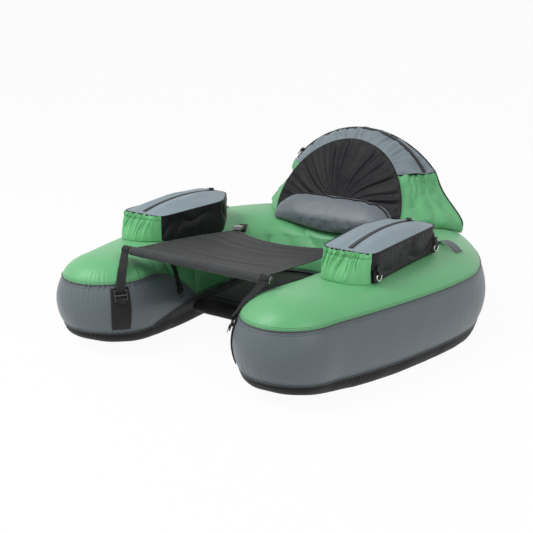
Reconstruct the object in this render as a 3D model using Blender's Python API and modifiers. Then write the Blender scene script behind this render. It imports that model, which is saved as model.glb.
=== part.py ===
"""Inflatable U-shaped fishing float tube: hull, seat, backrest, apron, gear bags and hardware.

Frame: metres, +Z up, the open bow towards -Y. The origin is the centre of the bounding box's base.
"left" is the side at -X and "right" the side at +X.
"""
import math

import bmesh
import bpy
import numpy as np
from mathutils import Matrix, Vector

# driving dimensions of the whole craft
HULL_LENGTH = 1.310
HULL_WIDTH = 1.120
TUBE_HEIGHT = 0.2565
FIT = 0.0004
SKIN_LIFT = 0.0012

# hull plan: outer and inner outline of the two tubes, measured at the seams
BAND_BULGE = 0.019
TIP_OUTER_X = 0.437
TIP_INNER_X = 0.185
TIP_STRETCH = 1.05
WIDEST_Y = 0.0415
TAPER_POWER = 1.5
STERN_POWER = 1.6
STERN_ROUNDING = 0.7
BAY_CENTRE_Y = -0.0435
BAY_HALF_WIDTH = 0.225
BAY_REACH = 0.190
BAY_POWER = 2.6

# hull section: seam heights and the shape of the top, the side band and the bottom
UPPER_SEAM_Z = 0.199
LOWER_SEAM_Z = 0.0437
TOP_POWER = 2.4
TOP_ROUNDING = 1.5
BOTTOM_INSET = 0.030
TIP_RISE_START_Y = -0.2525
TIP_SEAM_RISE = 0.0234
TIP_KEEL_RISE = 0.0423
COVER_THICKNESS = 0.0020
SEAM_GROOVE = 0.0004
BAND_FADE_Y = -0.460
BAND_END_STEP = 4
BAND_END_SHARE = 0.70
BAND_END_HALF = 0.020
UPPER_FADE_POWER = 1.8
LOWER_FADE_POWER = 0.7

# how finely the hull is divided, and the shares of the section's run given to each face
STERN_STEPS = 10
ARM_STEPS = 8
TIP_STEPS = 12
TOP_ROWS = 7
WALL_ROWS = 2
BAND_ROWS = 4
BOTTOM_ROWS = 6
TOP_SHARE = 0.40
BAND_SHARE = 0.35
KEEL_ARC_SHARE = 0.60
BISECTIONS = 40
SLOPE_STEP = 0.002
MERGE_DISTANCE = 0.0001

# air bladders and their valves
BLADDER_SIDE_GAP = 0.0060
BLADDER_TOP_GAP = 0.0052
BLADDER_KEEL_GAP = 0.0004
BLADDER_SPLIT_X = 0.0010
BLADDER_TOP_STEPS = 8
BLADDER_TIP_TURNS = (20, 40, 58, 74)
BLADDER_WALL_SHARES = (0.25, 0.5, 0.75)
VALVE_X = 0.150
VALVE_DECK_SHARE = 0.1809
FLANGE_RADIUS = 0.024
FLANGE_HEIGHT = 0.003
NECK_RADIUS = 0.012
NECK_HEIGHT = 0.010
CAP_RADIUS = 0.016
CAP_WALL = 0.003

# stabilizer bar with its end plugs, straps, locks and tip patches
BAR_Y = -0.5015
BAR_RISE = 0.0172
BAR_RADIUS = 0.0100
BAR_WALL = 0.0015
BAR_HALF_LENGTH = 0.2500
PLUG_HEAD_RADIUS = 0.0095
PLUG_HEAD_HEIGHT = 0.0030
PLUG_DEPTH = 0.0150
STRAP_WIDTH = 0.025
STRAP_THICKNESS = 0.0015
STRAP_BAR_X = 0.2360
FRONT_STRAP_STEPS = 7
PATCH_ANGLE = math.radians(32)
PATCH_WIDTH = 0.053
PATCH_THICKNESS = 0.0012
PATCH_TOP = 0.06
PATCH_FOOT = 0.90
LOCK_WIDTH = 0.036
LOCK_HEIGHT = 0.030
LOCK_THICKNESS = 0.0040
LOCK_Z = 0.168
TIP_SLOPE_SHARE = 0.01
LOCK_BAR = 0.0045
WEAVE_MARGIN = 0.0005

# apron
SLEEVE_HALF = 0.2210
APRON_REAR_HALF = 0.1930
APRON_THICKNESS = 0.0014
APRON_MIDDLE_Y = -0.1285
APRON_CORNER_Y = -0.0640
APRON_REAR_DROP = 0.0085
APRON_SAG = 0.0060
APRON_COLUMNS = 12
APRON_ROWS = 6
SLEEVE_STEPS = 10

# apron buckles
BUCKLE_X = 0.1945
BUCKLE_Y = -0.0613
BUCKLE_DROP = 0.0041
BUCKLE_PITCH = 0.064
ANCHOR_DIP = 0.004
ANCHOR_BEND = 0.012
ANCHOR_FOOT = 0.075
ANCHOR_REST = 0.092
ANCHOR_END = 0.115
BUCKLE_HEADING = math.radians(27)
TONGUE_LENGTH = 0.0300
TONGUE_WIDTH = 0.0240
TONGUE_THICKNESS = 0.0040
PRONG_LENGTH = 0.0180
PRONG_WIDTH = 0.0160
HOUSING_LENGTH = 0.0300
HOUSING_WIDTH = 0.0270
HOUSING_THICKNESS = 0.0090
HOUSING_WALL = 0.0020

# seat
SEAT_FRONT_Y = -0.3050
SEAT_BOTTOM_Z = 0.0450
SEAT_TOP_Z = 0.0900
SEAT_ROUNDING = 0.0120
SEAT_MESH_THICKNESS = 0.0015
SEAT_MESH_SHARE = 0.80
SEAT_STRAP_Y = -0.3600
SEAT_RING_Z = 0.1280
SEAT_STRAP_TOP_SHARES = (0.75, 0.99)
SEAT_STRAP_WALL_SHARES = (0.04, 0.30)
WALL_LEAN = 0.8

# gear bags
BAG_FRONT_Y = -0.3185
BAG_TURN_Y = -0.0600
BAG_REAR_Y = 0.0415
BAG_FRONT_INNER_X = 0.2750
BAG_TURN_INNER_X = 0.2500
BAG_REAR_INNER_X = 0.3150
BAG_OUTER_X = 0.4280
BAG_SIDE_BULGE = 0.0060
BAG_LIFT = 0.0030
BAG_SEAM_FRONT_RISE = 0.0685
BAG_SEAM_REAR_RISE = 0.0765
BAG_CORNER = 0.0080
BAG_STATIONS = 8
BAG_BASE_STEPS = 6
RIDGE_X = 0.3550
RIDGE_RADIUS = 0.9000
RIDGE_FRONT_RISE = 0.0735
RIDGE_REAR_RISE = 0.0805
RIDGE_MARGIN = 0.0150
LID_POWER = 2.2
LID_EDGE = 0.0030
LID_SECTION_SHARES = (1, 0.85, 0.6, 0.3, 0, -0.3, -0.6, -0.85, -1)
POCKET_DEPTH = 0.0520
POCKET_MOUTH_DEPTH = 0.0160
POCKET_MOUTH_RISE = 0.0615
POCKET_POWER = 2.5
POCKET_RIM = 0.0060
POCKET_FOOT_SHARE = 0.7
POCKET_BELLY_SHARE = 0.625
POCKET_STATIONS = 9
POCKET_LEVELS = 5
ZIP_WIDTH = 0.0120
ZIP_THICKNESS = 0.0016
ZIP_STEPS = 12

# zip sliders and pulls
SLIDER_LENGTH = 0.0150
SLIDER_WIDTH = 0.0100
SLIDER_BASE = 0.0022
SLIDER_EAR_HEIGHT = 0.0040
SLIDER_EAR_WIDTH = 0.0016
PULL_LENGTH = 0.0240
PULL_WIDTH = 0.0060
PULL_THICKNESS = 0.0014
PULL_LIFT = 0.0018
PULL_TAPER_SHARE = 0.7

# D-rings on webbing tabs
TAB_WIDTH = 0.0160
TAB_LENGTH = 0.0200
TAB_THICKNESS = 0.0012
EYE_RADIUS = 0.0026
DRING_HALF_WIDTH = 0.0125
DRING_DROP = 0.0044
RING_INSET = 0.0210
RING_RAISE = 0.0260
RING_WIRE = 0.0017

# backrest
BACK_Y = 0.1616
BACK_BASE_DROP = 0.0465
BACK_SLOPE = 0.478
BACK_HALF_WIDTH = 0.2236
BACK_SHOULDER_RISE = 0.0303
BACK_TOP_RISE = 0.2437
BACK_ARCH_POWER = 1.916
PANEL_THICKNESS = 0.0050
PANEL_STATIONS = 17
SEAT_BEFORE = 0.010
SEAT_BEHIND = 0.030
PAD_HALF_WIDTH = 0.2225
PAD_TOP_RISE = 0.0868
PAD_POWER = 3.4
PAD_DEPTH = 0.0420
PAD_EDGE_DEPTH = 0.0120
PAD_STATIONS = 11
PAD_SECTION_SHARES = ((0, 0), (0, 0.6), (0.3, 1), (0.65, 0.85), (0.92, 0.45), (1, 0.1), (1, 0), (0.5, 0))
POUCH_REAR_Y = 0.3723
POUCH_SPLIT_RISE = 0.1535
POUCH_STATIONS = 6
POUCH_FOOT_POINTS = 21
POUCH_HAUNCH_SHARE = 0.35
ARCH_STEPS = 14
ARCH_HALF_WIDTHS = (0.1787, 0.2380, 0.2540)
ARCH_RISES = (0.0902, 0.1190, 0.1170)
POUCH_SHOULDER_RISE = 0.0935
POUCH_SHOULDER_HALF = 0.2850
POUCH_FOOT_DROP = 0.0265
POUCH_FOOT_HALF = 0.3500
BACK_ZIP_SHARE = 0.62
BACK_ZIP_WIDTH = 0.0085
BACK_ZIP_LIFT = 0.0030
BACK_ZIP_HALF_ANGLE = math.radians(50)

# carry handles behind the bags
HANDLE_INNER = (0.385, 0.135)
HANDLE_OUTER = (0.470, 0.105)
HANDLE_RISE = 0.012

SIDES = (("left", -1), ("right", 1))
COLOURS = {
    "green_fabric": ((0.17, 0.46, 0.24), 0.55, 0.0),
    "grey_fabric": ((0.13, 0.16, 0.18), 0.55, 0.0),
    "black_fabric": ((0.02, 0.02, 0.022), 0.60, 0.0),
    "bladder_vinyl": ((0.75, 0.76, 0.74), 0.30, 0.0),
    "bag_grey": ((0.25, 0.30, 0.34), 0.70, 0.0),
    "pocket_green": ((0.20, 0.50, 0.26), 0.65, 0.0),
    "apron_mesh": ((0.06, 0.06, 0.06), 0.80, 0.0),
    "webbing": ((0.025, 0.025, 0.027), 0.80, 0.0),
    "grey_webbing": ((0.20, 0.21, 0.22), 0.80, 0.0),
    "zip_black": ((0.02, 0.02, 0.02), 0.60, 0.0),
    "black_plastic": ((0.02, 0.02, 0.02), 0.35, 0.0),
    "grey_plastic": ((0.30, 0.30, 0.30), 0.35, 0.0),
    "steel": ((0.60, 0.60, 0.60), 0.25, 1.0),
    "bar_aluminium": ((0.70, 0.71, 0.72), 0.35, 1.0),
}

# sizes that follow from the driving dimensions
SEAM_HALF_WIDTH = HULL_WIDTH / 2 - BAND_BULGE
SEAM_REACH = HULL_LENGTH / 2 - BAND_BULGE
TIP_RADIUS = (TIP_OUTER_X - TIP_INNER_X) / 2
TIP_CENTRE_X = (TIP_OUTER_X + TIP_INNER_X) / 2
TIP_CENTRE_Y = TIP_STRETCH * TIP_RADIUS - SEAM_REACH
ARM_SPACING = (BAY_CENTRE_Y - TIP_CENTRE_Y) / ARM_STEPS
BAND_END_Y = BAY_CENTRE_Y - BAND_END_STEP * ARM_SPACING
BAND_FOOT_SHARE = TOP_SHARE + BAND_SHARE
SEAM_HEIGHT = UPPER_SEAM_Z - LOWER_SEAM_Z
GROOVE_SHARE = BAND_SHARE * SEAM_GROOVE / SEAM_HEIGHT
VALVE_Y = POUCH_REAR_Y + VALVE_DECK_SHARE * (SEAM_REACH - POUCH_REAR_Y)
WELD = 0.00002
UP = Vector((0, 0, 1))

# heights of what stands on the hull, each a rise or a drop from the tubes' top
BAR_Z = TUBE_HEIGHT + BAR_RISE
APRON_REAR_Z = TUBE_HEIGHT - APRON_REAR_DROP
BUCKLE_Z = TUBE_HEIGHT - BUCKLE_DROP
BAG_SEAM_FRONT_Z = TUBE_HEIGHT + BAG_SEAM_FRONT_RISE
BAG_SEAM_REAR_Z = TUBE_HEIGHT + BAG_SEAM_REAR_RISE
RIDGE_FRONT_Z = TUBE_HEIGHT + RIDGE_FRONT_RISE
RIDGE_REAR_Z = TUBE_HEIGHT + RIDGE_REAR_RISE
POCKET_MOUTH_Z = TUBE_HEIGHT + POCKET_MOUTH_RISE
BACK_BASE_Z = TUBE_HEIGHT - BACK_BASE_DROP
BACK_SHOULDER_Z = TUBE_HEIGHT + BACK_SHOULDER_RISE
BACK_TOP_Z = TUBE_HEIGHT + BACK_TOP_RISE
PAD_TOP_Z = TUBE_HEIGHT + PAD_TOP_RISE
POUCH_SPLIT_Z = TUBE_HEIGHT + POUCH_SPLIT_RISE
POUCH_SHOULDER_Z = TUBE_HEIGHT + POUCH_SHOULDER_RISE
POUCH_FOOT_Z = TUBE_HEIGHT - POUCH_FOOT_DROP

for old in list(bpy.data.objects):
    bpy.data.objects.remove(old, do_unlink=True)
parts = bpy.data.collections.new("float_tube")
cutters = bpy.data.collections.new("cutters")
bpy.context.scene.collection.children.link(parts)
bpy.context.scene.collection.children.link(cutters)


def clamp(value, low=0.0, high=1.0):
    """Keep a value inside its limits."""
    return min(max(value, low), high)


def mix(first, second, share):
    """Blend two values or arrays."""
    return first + (second - first) * share


def finish_material(name):
    """One Principled material per finish, made the first time that it is asked for."""
    if name in bpy.data.materials:
        return bpy.data.materials[name]
    colour, roughness, metallic = COLOURS[name]
    made = bpy.data.materials.new(name)
    made.use_nodes = True
    shader = made.node_tree.nodes["Principled BSDF"]
    shader.inputs["Base Color"].default_value = (*colour, 1.0)
    shader.inputs["Roughness"].default_value = roughness
    shader.inputs["Metallic"].default_value = metallic
    return made


def place(name, mesh, finish, origin=(0, 0, 0), collection=parts):
    """Put a mesh that is drawn in the craft's frame into the scene, its origin at a given point."""
    mesh.transform(Matrix.Translation(-Vector(origin)))
    mesh.materials.append(finish_material(finish))
    mesh.shade_smooth()
    mesh.set_sharp_from_angle(angle=math.radians(35))
    made = bpy.data.objects.new(name, mesh)
    made.location = origin
    collection.objects.link(made)
    return made


def frame_at(origin, x_axis, z_axis):
    """A right-handed local frame from its origin, its X direction and roughly its Z direction."""
    x_axis = Vector(x_axis).normalized()
    y_axis = Vector(z_axis).cross(x_axis).normalized()
    z_axis = x_axis.cross(y_axis)
    return Matrix.Translation(origin) @ Matrix((x_axis, y_axis, z_axis)).transposed().to_4x4()


def in_frame(frame, points):
    """Points of a local frame in the craft's frame."""
    return [frame @ Vector([float(value) for value in point]) for point in points]


def mesh_from_grid(name, rows, closed, capped):
    """A mesh from rows of points: open or closed across, with or without flat end faces."""
    shell = bmesh.new()
    grid = [[shell.verts.new([float(value) for value in point]) for point in row] for row in rows]
    count = len(grid[0])
    for first, second in zip(grid, grid[1:]):
        for index in range(count if closed else count - 1):
            following = (index + 1) % count
            shell.faces.new((first[index], first[following], second[following], second[index]))
    if capped:
        shell.faces.new(grid[0])
        shell.faces.new(grid[-1])
    bmesh.ops.remove_doubles(shell, verts=shell.verts, dist=WELD)
    if capped:
        bmesh.ops.recalc_face_normals(shell, faces=shell.faces)
    mesh = bpy.data.meshes.new(name)
    shell.to_mesh(mesh)
    shell.free()
    return mesh


def loft(name, rings, finish, origin=(0, 0, 0)):
    """A closed solid through rings of points, each with the same number of points."""
    return place(name, mesh_from_grid(name, rings, True, True), finish, origin)


def sheet(name, rows, thickness, finish, side=1, outward=False, mirrored=False, origin=(0, 0, 0)):
    """A thin closed skin from one surface, which faces along (step within a row) x (row to row).

    Rows are drawn for the right side; side -1 mirrors them. The thickness goes inward by default.
    """
    if side < 0:
        rows = [[(-point[0], point[1], point[2]) for point in row][::-1] for row in rows]
    made = place(name, mesh_from_grid(name, rows, False, False), finish, origin)
    if mirrored:
        mirror = made.modifiers.new("mirror", "MIRROR")
        mirror.merge_threshold = MERGE_DISTANCE
    solid = made.modifiers.new("thickness", "SOLIDIFY")
    solid.thickness = thickness
    solid.offset = 1 if outward else -1
    solid.use_even_offset = True
    return made


def turned(name, profile, finish, frame, steps=24):
    """A solid turned round the frame's Z axis from a profile of (radius, height), top to bottom."""
    mesh = bpy.data.meshes.new(name)
    edges = [(index, index + 1) for index in range(len(profile) - 1)]
    if profile[0][0] > 0:
        edges.append((len(profile) - 1, 0))
    mesh.from_pydata([(radius, 0, height) for radius, height in profile], edges, [])
    made = place(name, mesh, finish)
    made.matrix_world = frame
    screw = made.modifiers.new("turn", "SCREW")
    screw.steps = steps
    screw.render_steps = steps
    screw.use_merge_vertices = True
    screw.merge_threshold = MERGE_DISTANCE
    return made


def wire(name, points, radius, finish, closed, origin=(0, 0, 0), resolution=1):
    """A round bar along a line of points, as a mesh with welded ends."""
    curve = bpy.data.curves.new(name, "CURVE")
    curve.dimensions = "3D"
    curve.bevel_depth = radius
    curve.bevel_resolution = resolution
    curve.use_fill_caps = not closed
    line = curve.splines.new("POLY")
    line.points.add(len(points) - 1)
    for knot, point in zip(line.points, points):
        knot.co = (*[float(value) for value in point], 1.0)
    line.use_cyclic_u = closed
    guide = bpy.data.objects.new(name + "_guide", curve)
    cutters.objects.link(guide)
    evaluated = guide.evaluated_get(bpy.context.evaluated_depsgraph_get())
    mesh = bpy.data.meshes.new_from_object(evaluated)
    bpy.data.objects.remove(guide, do_unlink=True)
    shell = bmesh.new()
    shell.from_mesh(mesh)
    bmesh.ops.remove_doubles(shell, verts=shell.verts, dist=WELD)
    bmesh.ops.recalc_face_normals(shell, faces=shell.faces)
    shell.to_mesh(mesh)
    shell.free()
    mesh.materials.clear()
    return place(name, mesh, finish, origin)


def block(name, size, finish, frame, collection=parts):
    """A box centred on a frame."""
    shell = bmesh.new()
    bmesh.ops.create_cube(shell, size=1)
    bmesh.ops.scale(shell, vec=size, verts=shell.verts)
    mesh = bpy.data.meshes.new(name)
    shell.to_mesh(mesh)
    shell.free()
    made = place(name, mesh, finish, collection=collection)
    made.matrix_world = frame
    return made


def cut(target, size, frame):
    """Cut a box out of a solid."""
    cutter = block(target.name + "_cut", size, "black_plastic", frame, cutters)
    cutter.hide_render = True
    cutter.display_type = "WIRE"
    boolean = target.modifiers.new("cut", "BOOLEAN")
    boolean.operation = "DIFFERENCE"
    boolean.solver = "EXACT"
    boolean.object = cutter


def strap(name, points, across, width, finish, thickness=STRAP_THICKNESS, origin=(0, 0, 0)):
    """A flat strap: its middle line, the direction of its width, thickened both ways."""
    half = np.array(across, float)
    half = half / np.linalg.norm(half) * width / 2
    rows = [[np.array(point) - half, np.array(point) + half] for point in points]
    made = sheet(name, rows, thickness, finish, origin=origin)
    made.modifiers["thickness"].offset = 0
    return made


def mirrored_points(points, side):
    """Points drawn for the right side, on the wanted side."""
    return [(point[0] * side, point[1], point[2]) for point in points]


def outer_seam_x(y):
    """Half width of the hull at its outer seam."""
    if y < WIDEST_Y:
        run = (WIDEST_Y - y) / (WIDEST_Y - TIP_CENTRE_Y)
        return SEAM_HALF_WIDTH - (SEAM_HALF_WIDTH - TIP_OUTER_X) * run ** TAPER_POWER
    run = clamp((y - WIDEST_Y) / (SEAM_REACH - WIDEST_Y))
    return SEAM_HALF_WIDTH * (1 - run ** STERN_POWER) ** STERN_ROUNDING


def inner_seam_x(y):
    """Half width of the open bay between the arms at the inner seam."""
    run = (y - TIP_CENTRE_Y) / (BAY_CENTRE_Y - TIP_CENTRE_Y)
    return mix(TIP_INNER_X, BAY_HALF_WIDTH, run)


def bay_reach(angle):
    """Distance from the bay's centre to the inner seam in one direction of the plan."""
    across = abs(math.cos(angle)) / BAY_HALF_WIDTH
    along = abs(math.sin(angle)) / BAY_REACH
    return (across ** BAY_POWER + along ** BAY_POWER) ** (-1 / BAY_POWER)


def stern_reach(angle):
    """Distance from the bay's centre to the outer seam in one direction of the plan."""
    low, high = BAY_REACH, HULL_LENGTH
    for _ in range(BISECTIONS):
        middle = (low + high) / 2
        y = BAY_CENTRE_Y + middle * math.sin(angle)
        inside = y < SEAM_REACH and middle * math.cos(angle) < outer_seam_x(y)
        low, high = (middle, high) if inside else (low, middle)
    return low


def arm_station(y):
    """Middle of one arm's section and the reach from there to its outer seam."""
    outer, inner = outer_seam_x(y), inner_seam_x(y)
    return np.array(((outer + inner) / 2, y)), np.array(((outer - inner) / 2, 0.0))


def stern_station(angle):
    """Middle of the stern's section in one direction, and the reach to its outer seam."""
    direction = np.array((math.cos(angle), math.sin(angle)))
    inner, outer = bay_reach(angle), stern_reach(angle)
    centre = np.array((0.0, BAY_CENTRE_Y)) + direction * (inner + outer) / 2
    return centre, direction * (outer - inner) / 2


def tip_station(angle):
    """Middle of the rounded tip and the reach to its seam, the angle counted from the outer side."""
    reach = np.array((math.cos(angle), -math.sin(angle) * TIP_STRETCH)) * TIP_RADIUS
    return np.array((TIP_CENTRE_X, TIP_CENTRE_Y)), reach


def hull_spine():
    """Stations of one half, from the stern's middle to the tip."""
    angles = [math.pi / 2 * (1 - step / STERN_STEPS) for step in range(STERN_STEPS)]
    levels = [BAY_CENTRE_Y - step * ARM_SPACING for step in range(ARM_STEPS + 1)]
    return [stern_station(angle) for angle in angles] + [arm_station(y) for y in levels]


def hull_contour():
    """Stations round one half: inner wall from the stern to the tip, then the outer wall back."""
    spine = hull_spine()
    inner = [(centre, -reach, True) for centre, reach in spine]
    turns = [math.pi * (1 - step / TIP_STEPS) for step in range(1, TIP_STEPS)]
    tip = [(*tip_station(turn), False) for turn in turns]
    outer = [(centre, reach, False) for centre, reach in reversed(spine)]
    return inner + tip + outer


def tip_rise(y):
    """How far the underside has risen towards the tips, from 0 to 1."""
    return clamp((TIP_RISE_START_Y - y) / (TIP_RISE_START_Y + HULL_LENGTH / 2)) ** 2


def dome(run, top=TUBE_HEIGHT):
    """Height of the top cover, run going from 0 at the crest to 1 at the seam."""
    return UPPER_SEAM_Z + (top - UPPER_SEAM_Z) * (1 - clamp(run) ** TOP_POWER) ** (1 / TOP_ROUNDING)


def hull_point(centre, reach, share):
    """A point of the hull's outside at one station; share runs from 0 at the crest to 1 at the keel."""
    seam = centre + reach
    width = np.linalg.norm(reach)
    lower = LOWER_SEAM_Z + TIP_SEAM_RISE * tip_rise(seam[1])
    if share <= TOP_SHARE:
        run = share / TOP_SHARE
        return np.array((*(centre + reach * run), dome(run)))
    if share <= BAND_FOOT_SHARE:
        run = (share - TOP_SHARE) / BAND_SHARE
        bulge = BAND_BULGE * (1 - (2 * run - 1) ** 2)
        return np.array((*(seam + reach / width * bulge), mix(UPPER_SEAM_Z, lower, run)))
    run = (share - BAND_FOOT_SHARE) / (1 - BAND_FOOT_SHARE)
    turn = clamp(run / KEEL_ARC_SHARE) * math.pi / 2
    level = 1 - clamp((run - KEEL_ARC_SHARE) / (1 - KEEL_ARC_SHARE))
    inset = BOTTOM_INSET * (1 - math.cos(turn))
    plan = centre + reach * (width - inset) / width * level
    keel = TIP_KEEL_RISE * tip_rise(plan[1])
    return np.array((*plan, mix(lower, keel, math.sin(turn))))


def seam_shares(centre, inner):
    """Shares of the upper and the lower seam; on the inner wall the side band tapers to a point."""
    if not inner:
        return TOP_SHARE, BAND_FOOT_SHARE
    fade = clamp((centre[1] - BAND_FADE_Y) / (BAND_END_Y - BAND_FADE_Y))
    half = BAND_END_HALF if centre[1] < BAND_END_Y + WELD else 0
    upper = TOP_SHARE + BAND_SHARE * (BAND_END_SHARE - half) * fade ** UPPER_FADE_POWER
    lower = BAND_FOOT_SHARE - BAND_SHARE * (1 - BAND_END_SHARE - half) * fade ** LOWER_FADE_POWER
    return upper, lower


def top_cover_row(centre, reach, inner):
    """One row of the top cover, from the crest to the groove above the seam."""
    upper, _ = seam_shares(centre, inner)
    if upper - GROOVE_SHARE <= TOP_SHARE:
        groove = (SEAM_GROOVE / (TUBE_HEIGHT - UPPER_SEAM_Z)) ** TOP_ROUNDING
        end = (1 - groove) ** (1 / TOP_POWER)
        runs = [end * math.sin(math.pi / 2 * row / TOP_ROWS) for row in range(TOP_ROWS + 1)]
        return [hull_point(centre, reach, TOP_SHARE * run) for run in runs]
    dome_rows = TOP_ROWS - WALL_ROWS
    shares = [TOP_SHARE * math.sin(math.pi / 2 * row / dome_rows) for row in range(dome_rows + 1)]
    step = (upper - GROOVE_SHARE - TOP_SHARE) / WALL_ROWS
    shares += [TOP_SHARE + step * (row + 1) for row in range(WALL_ROWS)]
    return [hull_point(centre, reach, share) for share in shares]


def band_row(centre, reach, inner):
    """One row of the side band, from the upper to the lower seam."""
    upper, lower = seam_shares(centre, inner)
    shares = np.linspace(upper + GROOVE_SHARE, lower - GROOVE_SHARE, BAND_ROWS + 1)
    return [hull_point(centre, reach, share) for share in shares]


def bottom_row(centre, reach, inner):
    """One row of the bottom cover, from the lower seam to the keel's middle."""
    _, lower = seam_shares(centre, inner)
    keel_arc = BAND_FOOT_SHARE + (1 - BAND_FOOT_SHARE) * KEEL_ARC_SHARE
    if lower < BAND_FOOT_SHARE:
        arc = np.linspace(BAND_FOOT_SHARE, keel_arc, BOTTOM_ROWS - 2)
        shares = [lower + GROOVE_SHARE, (lower + BAND_FOOT_SHARE) / 2, *arc, 1.0]
    else:
        shares = [*np.linspace(lower + GROOVE_SHARE, keel_arc, BOTTOM_ROWS), 1.0]
    return [hull_point(centre, reach, share) for share in shares]


def top_height(x, y):
    """Height of the top cover's outside over a point of the plan."""
    across = abs(x)
    if y < TIP_CENTRE_Y:
        off = math.hypot(across - TIP_CENTRE_X, (y - TIP_CENTRE_Y) / TIP_STRETCH)
        return dome(off / TIP_RADIUS)
    if y < BAY_CENTRE_Y:
        centre, reach = arm_station(y)
        return dome(abs(across - centre[0]) / reach[0])
    angle = math.atan2(y - BAY_CENTRE_Y, across)
    inner, outer = bay_reach(angle), stern_reach(angle)
    off = math.hypot(across, y - BAY_CENTRE_Y) - (inner + outer) / 2
    return dome(abs(off) / ((outer - inner) / 2))


def widest_height(x, y, across):
    """Height that clears the top cover under the whole width of a strap."""
    half = np.array(across[:2]) * STRAP_WIDTH / 2
    return max(top_height(x + half[0] * run, y + half[1] * run) for run in (-1, -0.5, 0, 0.5, 1))


def top_normal(x, y):
    """Direction square to the top cover over a point of the plan."""
    along_x = (top_height(x + SLOPE_STEP, y) - top_height(x - SLOPE_STEP, y)) / (2 * SLOPE_STEP)
    along_y = (top_height(x, y + SLOPE_STEP) - top_height(x, y - SLOPE_STEP)) / (2 * SLOPE_STEP)
    return Vector((-along_x, -along_y, 1)).normalized()


def over_hull(x, y, lift):
    """A point lifted off the top cover."""
    return (x, y, top_height(x, y) + lift)


def make_hull_covers():
    """The green top cover, the grey side band and the black bottom cover."""
    contour = hull_contour()
    top = [top_cover_row(*station) for station in contour]
    sheet("hull_top_cover", top, COVER_THICKNESS, "green_fabric", mirrored=True)
    first = STERN_STEPS + BAND_END_STEP
    band = [band_row(*station) for station in contour[first:]]
    sheet("hull_side_band", band, COVER_THICKNESS, "grey_fabric", mirrored=True)
    bottom = [bottom_row(*station) for station in contour]
    sheet("hull_bottom_cover", bottom, COVER_THICKNESS, "black_fabric", mirrored=True)


def bladder_wall(centre, heading, width, run):
    """A point of a bladder's side wall, which fills the side band's bulge."""
    plan = centre + heading * (width + BAND_BULGE * (1 - (2 * run - 1) ** 2))
    rise = tip_rise(plan[1])
    return (*plan, mix(UPPER_SEAM_Z, LOWER_SEAM_Z + TIP_SEAM_RISE * rise, run))


def bladder_ring(centre, reach, turn=0.0):
    """One closed section of a bladder; a turn above 0 moves it into the rounded tip."""
    width = np.linalg.norm(reach) - BLADDER_SIDE_GAP
    direction = reach / np.linalg.norm(reach)
    ahead = np.array((0.0, -TIP_STRETCH)) * math.sin(turn)
    edge = BOTTOM_INSET / width
    half_edge = edge * (1 - math.cos(math.pi / 4))
    spread = [math.sin(math.pi * (step / BLADDER_TOP_STEPS - 0.5)) for step in range(BLADDER_TOP_STEPS + 1)]
    keel = [1, 1 - half_edge, 1 - edge, edge - 1, half_edge - 1, -1]
    ring = []
    for index, share in enumerate(spread + keel):
        plan = centre + (direction * share * math.cos(turn) + ahead) * width
        off = max(math.hypot(share * math.cos(turn), math.sin(turn)), WELD)
        rise = tip_rise(centre[1] - TIP_STRETCH * TIP_RADIUS * math.sin(turn) / off)
        lower = LOWER_SEAM_Z + TIP_SEAM_RISE * rise
        if index <= BLADDER_TOP_STEPS:
            ring.append((*plan, dome(off, TUBE_HEIGHT - BLADDER_TOP_GAP)))
            if index == BLADDER_TOP_STEPS:
                heading = direction * math.cos(turn) + ahead
                ring += [bladder_wall(centre, heading, width, run) for run in BLADDER_WALL_SHARES]
            continue
        flat = 1 - clamp((1 - off) / edge)
        floor = TIP_KEEL_RISE * tip_rise(plan[1]) + COVER_THICKNESS + BLADDER_KEEL_GAP
        ring.append((*plan, mix(lower, floor, math.sqrt(1 - flat ** 2))))
    heading = ahead - direction * math.cos(turn)
    return ring + [bladder_wall(centre, heading, width, run) for run in BLADDER_WALL_SHARES[::-1]]


def make_bladders():
    """One sealed air chamber in each arm, meeting at the stern's middle."""
    spine = hull_spine()
    rings = [bladder_ring(centre, reach) for centre, reach in spine]
    rings[0] = [(BLADDER_SPLIT_X, point[1], point[2]) for point in rings[0]]
    rings += [bladder_ring(*spine[-1], math.radians(turn)) for turn in BLADDER_TIP_TURNS]
    for word, side in SIDES:
        loft("air_bladder_" + word, [mirrored_points(ring, side) for ring in rings], "bladder_vinyl")


def valve_frame(side):
    """Frame of one inflation valve, square to the top cover."""
    normal = top_normal(VALVE_X * side, VALVE_Y)
    base = Vector(over_hull(VALVE_X * side, VALVE_Y, 0)) + normal * FIT
    return frame_at(base, (1, 0, -normal.x / normal.z), normal)


def make_valves():
    """Inflation valves on the stern deck, with screw caps."""
    neck_top = FLANGE_HEIGHT + NECK_HEIGHT
    body = [(0, neck_top), (NECK_RADIUS, neck_top), (NECK_RADIUS, FLANGE_HEIGHT)]
    body += [(FLANGE_RADIUS, FLANGE_HEIGHT / 2), (FLANGE_RADIUS, 0), (0, 0)]
    cap_foot = FLANGE_HEIGHT + FIT + CAP_WALL
    cap_top = neck_top + FIT + CAP_WALL
    bore = NECK_RADIUS + FIT
    cap = [(0, cap_top), (CAP_RADIUS - CAP_WALL / 2, cap_top), (CAP_RADIUS, cap_top - CAP_WALL / 2)]
    cap += [(CAP_RADIUS, cap_foot), (bore, cap_foot), (bore, neck_top + FIT), (0, neck_top + FIT)]
    for word, side in SIDES:
        turned("valve_" + word, body, "grey_plastic", valve_frame(side))
        turned("valve_cap_" + word, cap, "black_plastic", valve_frame(side))


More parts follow.
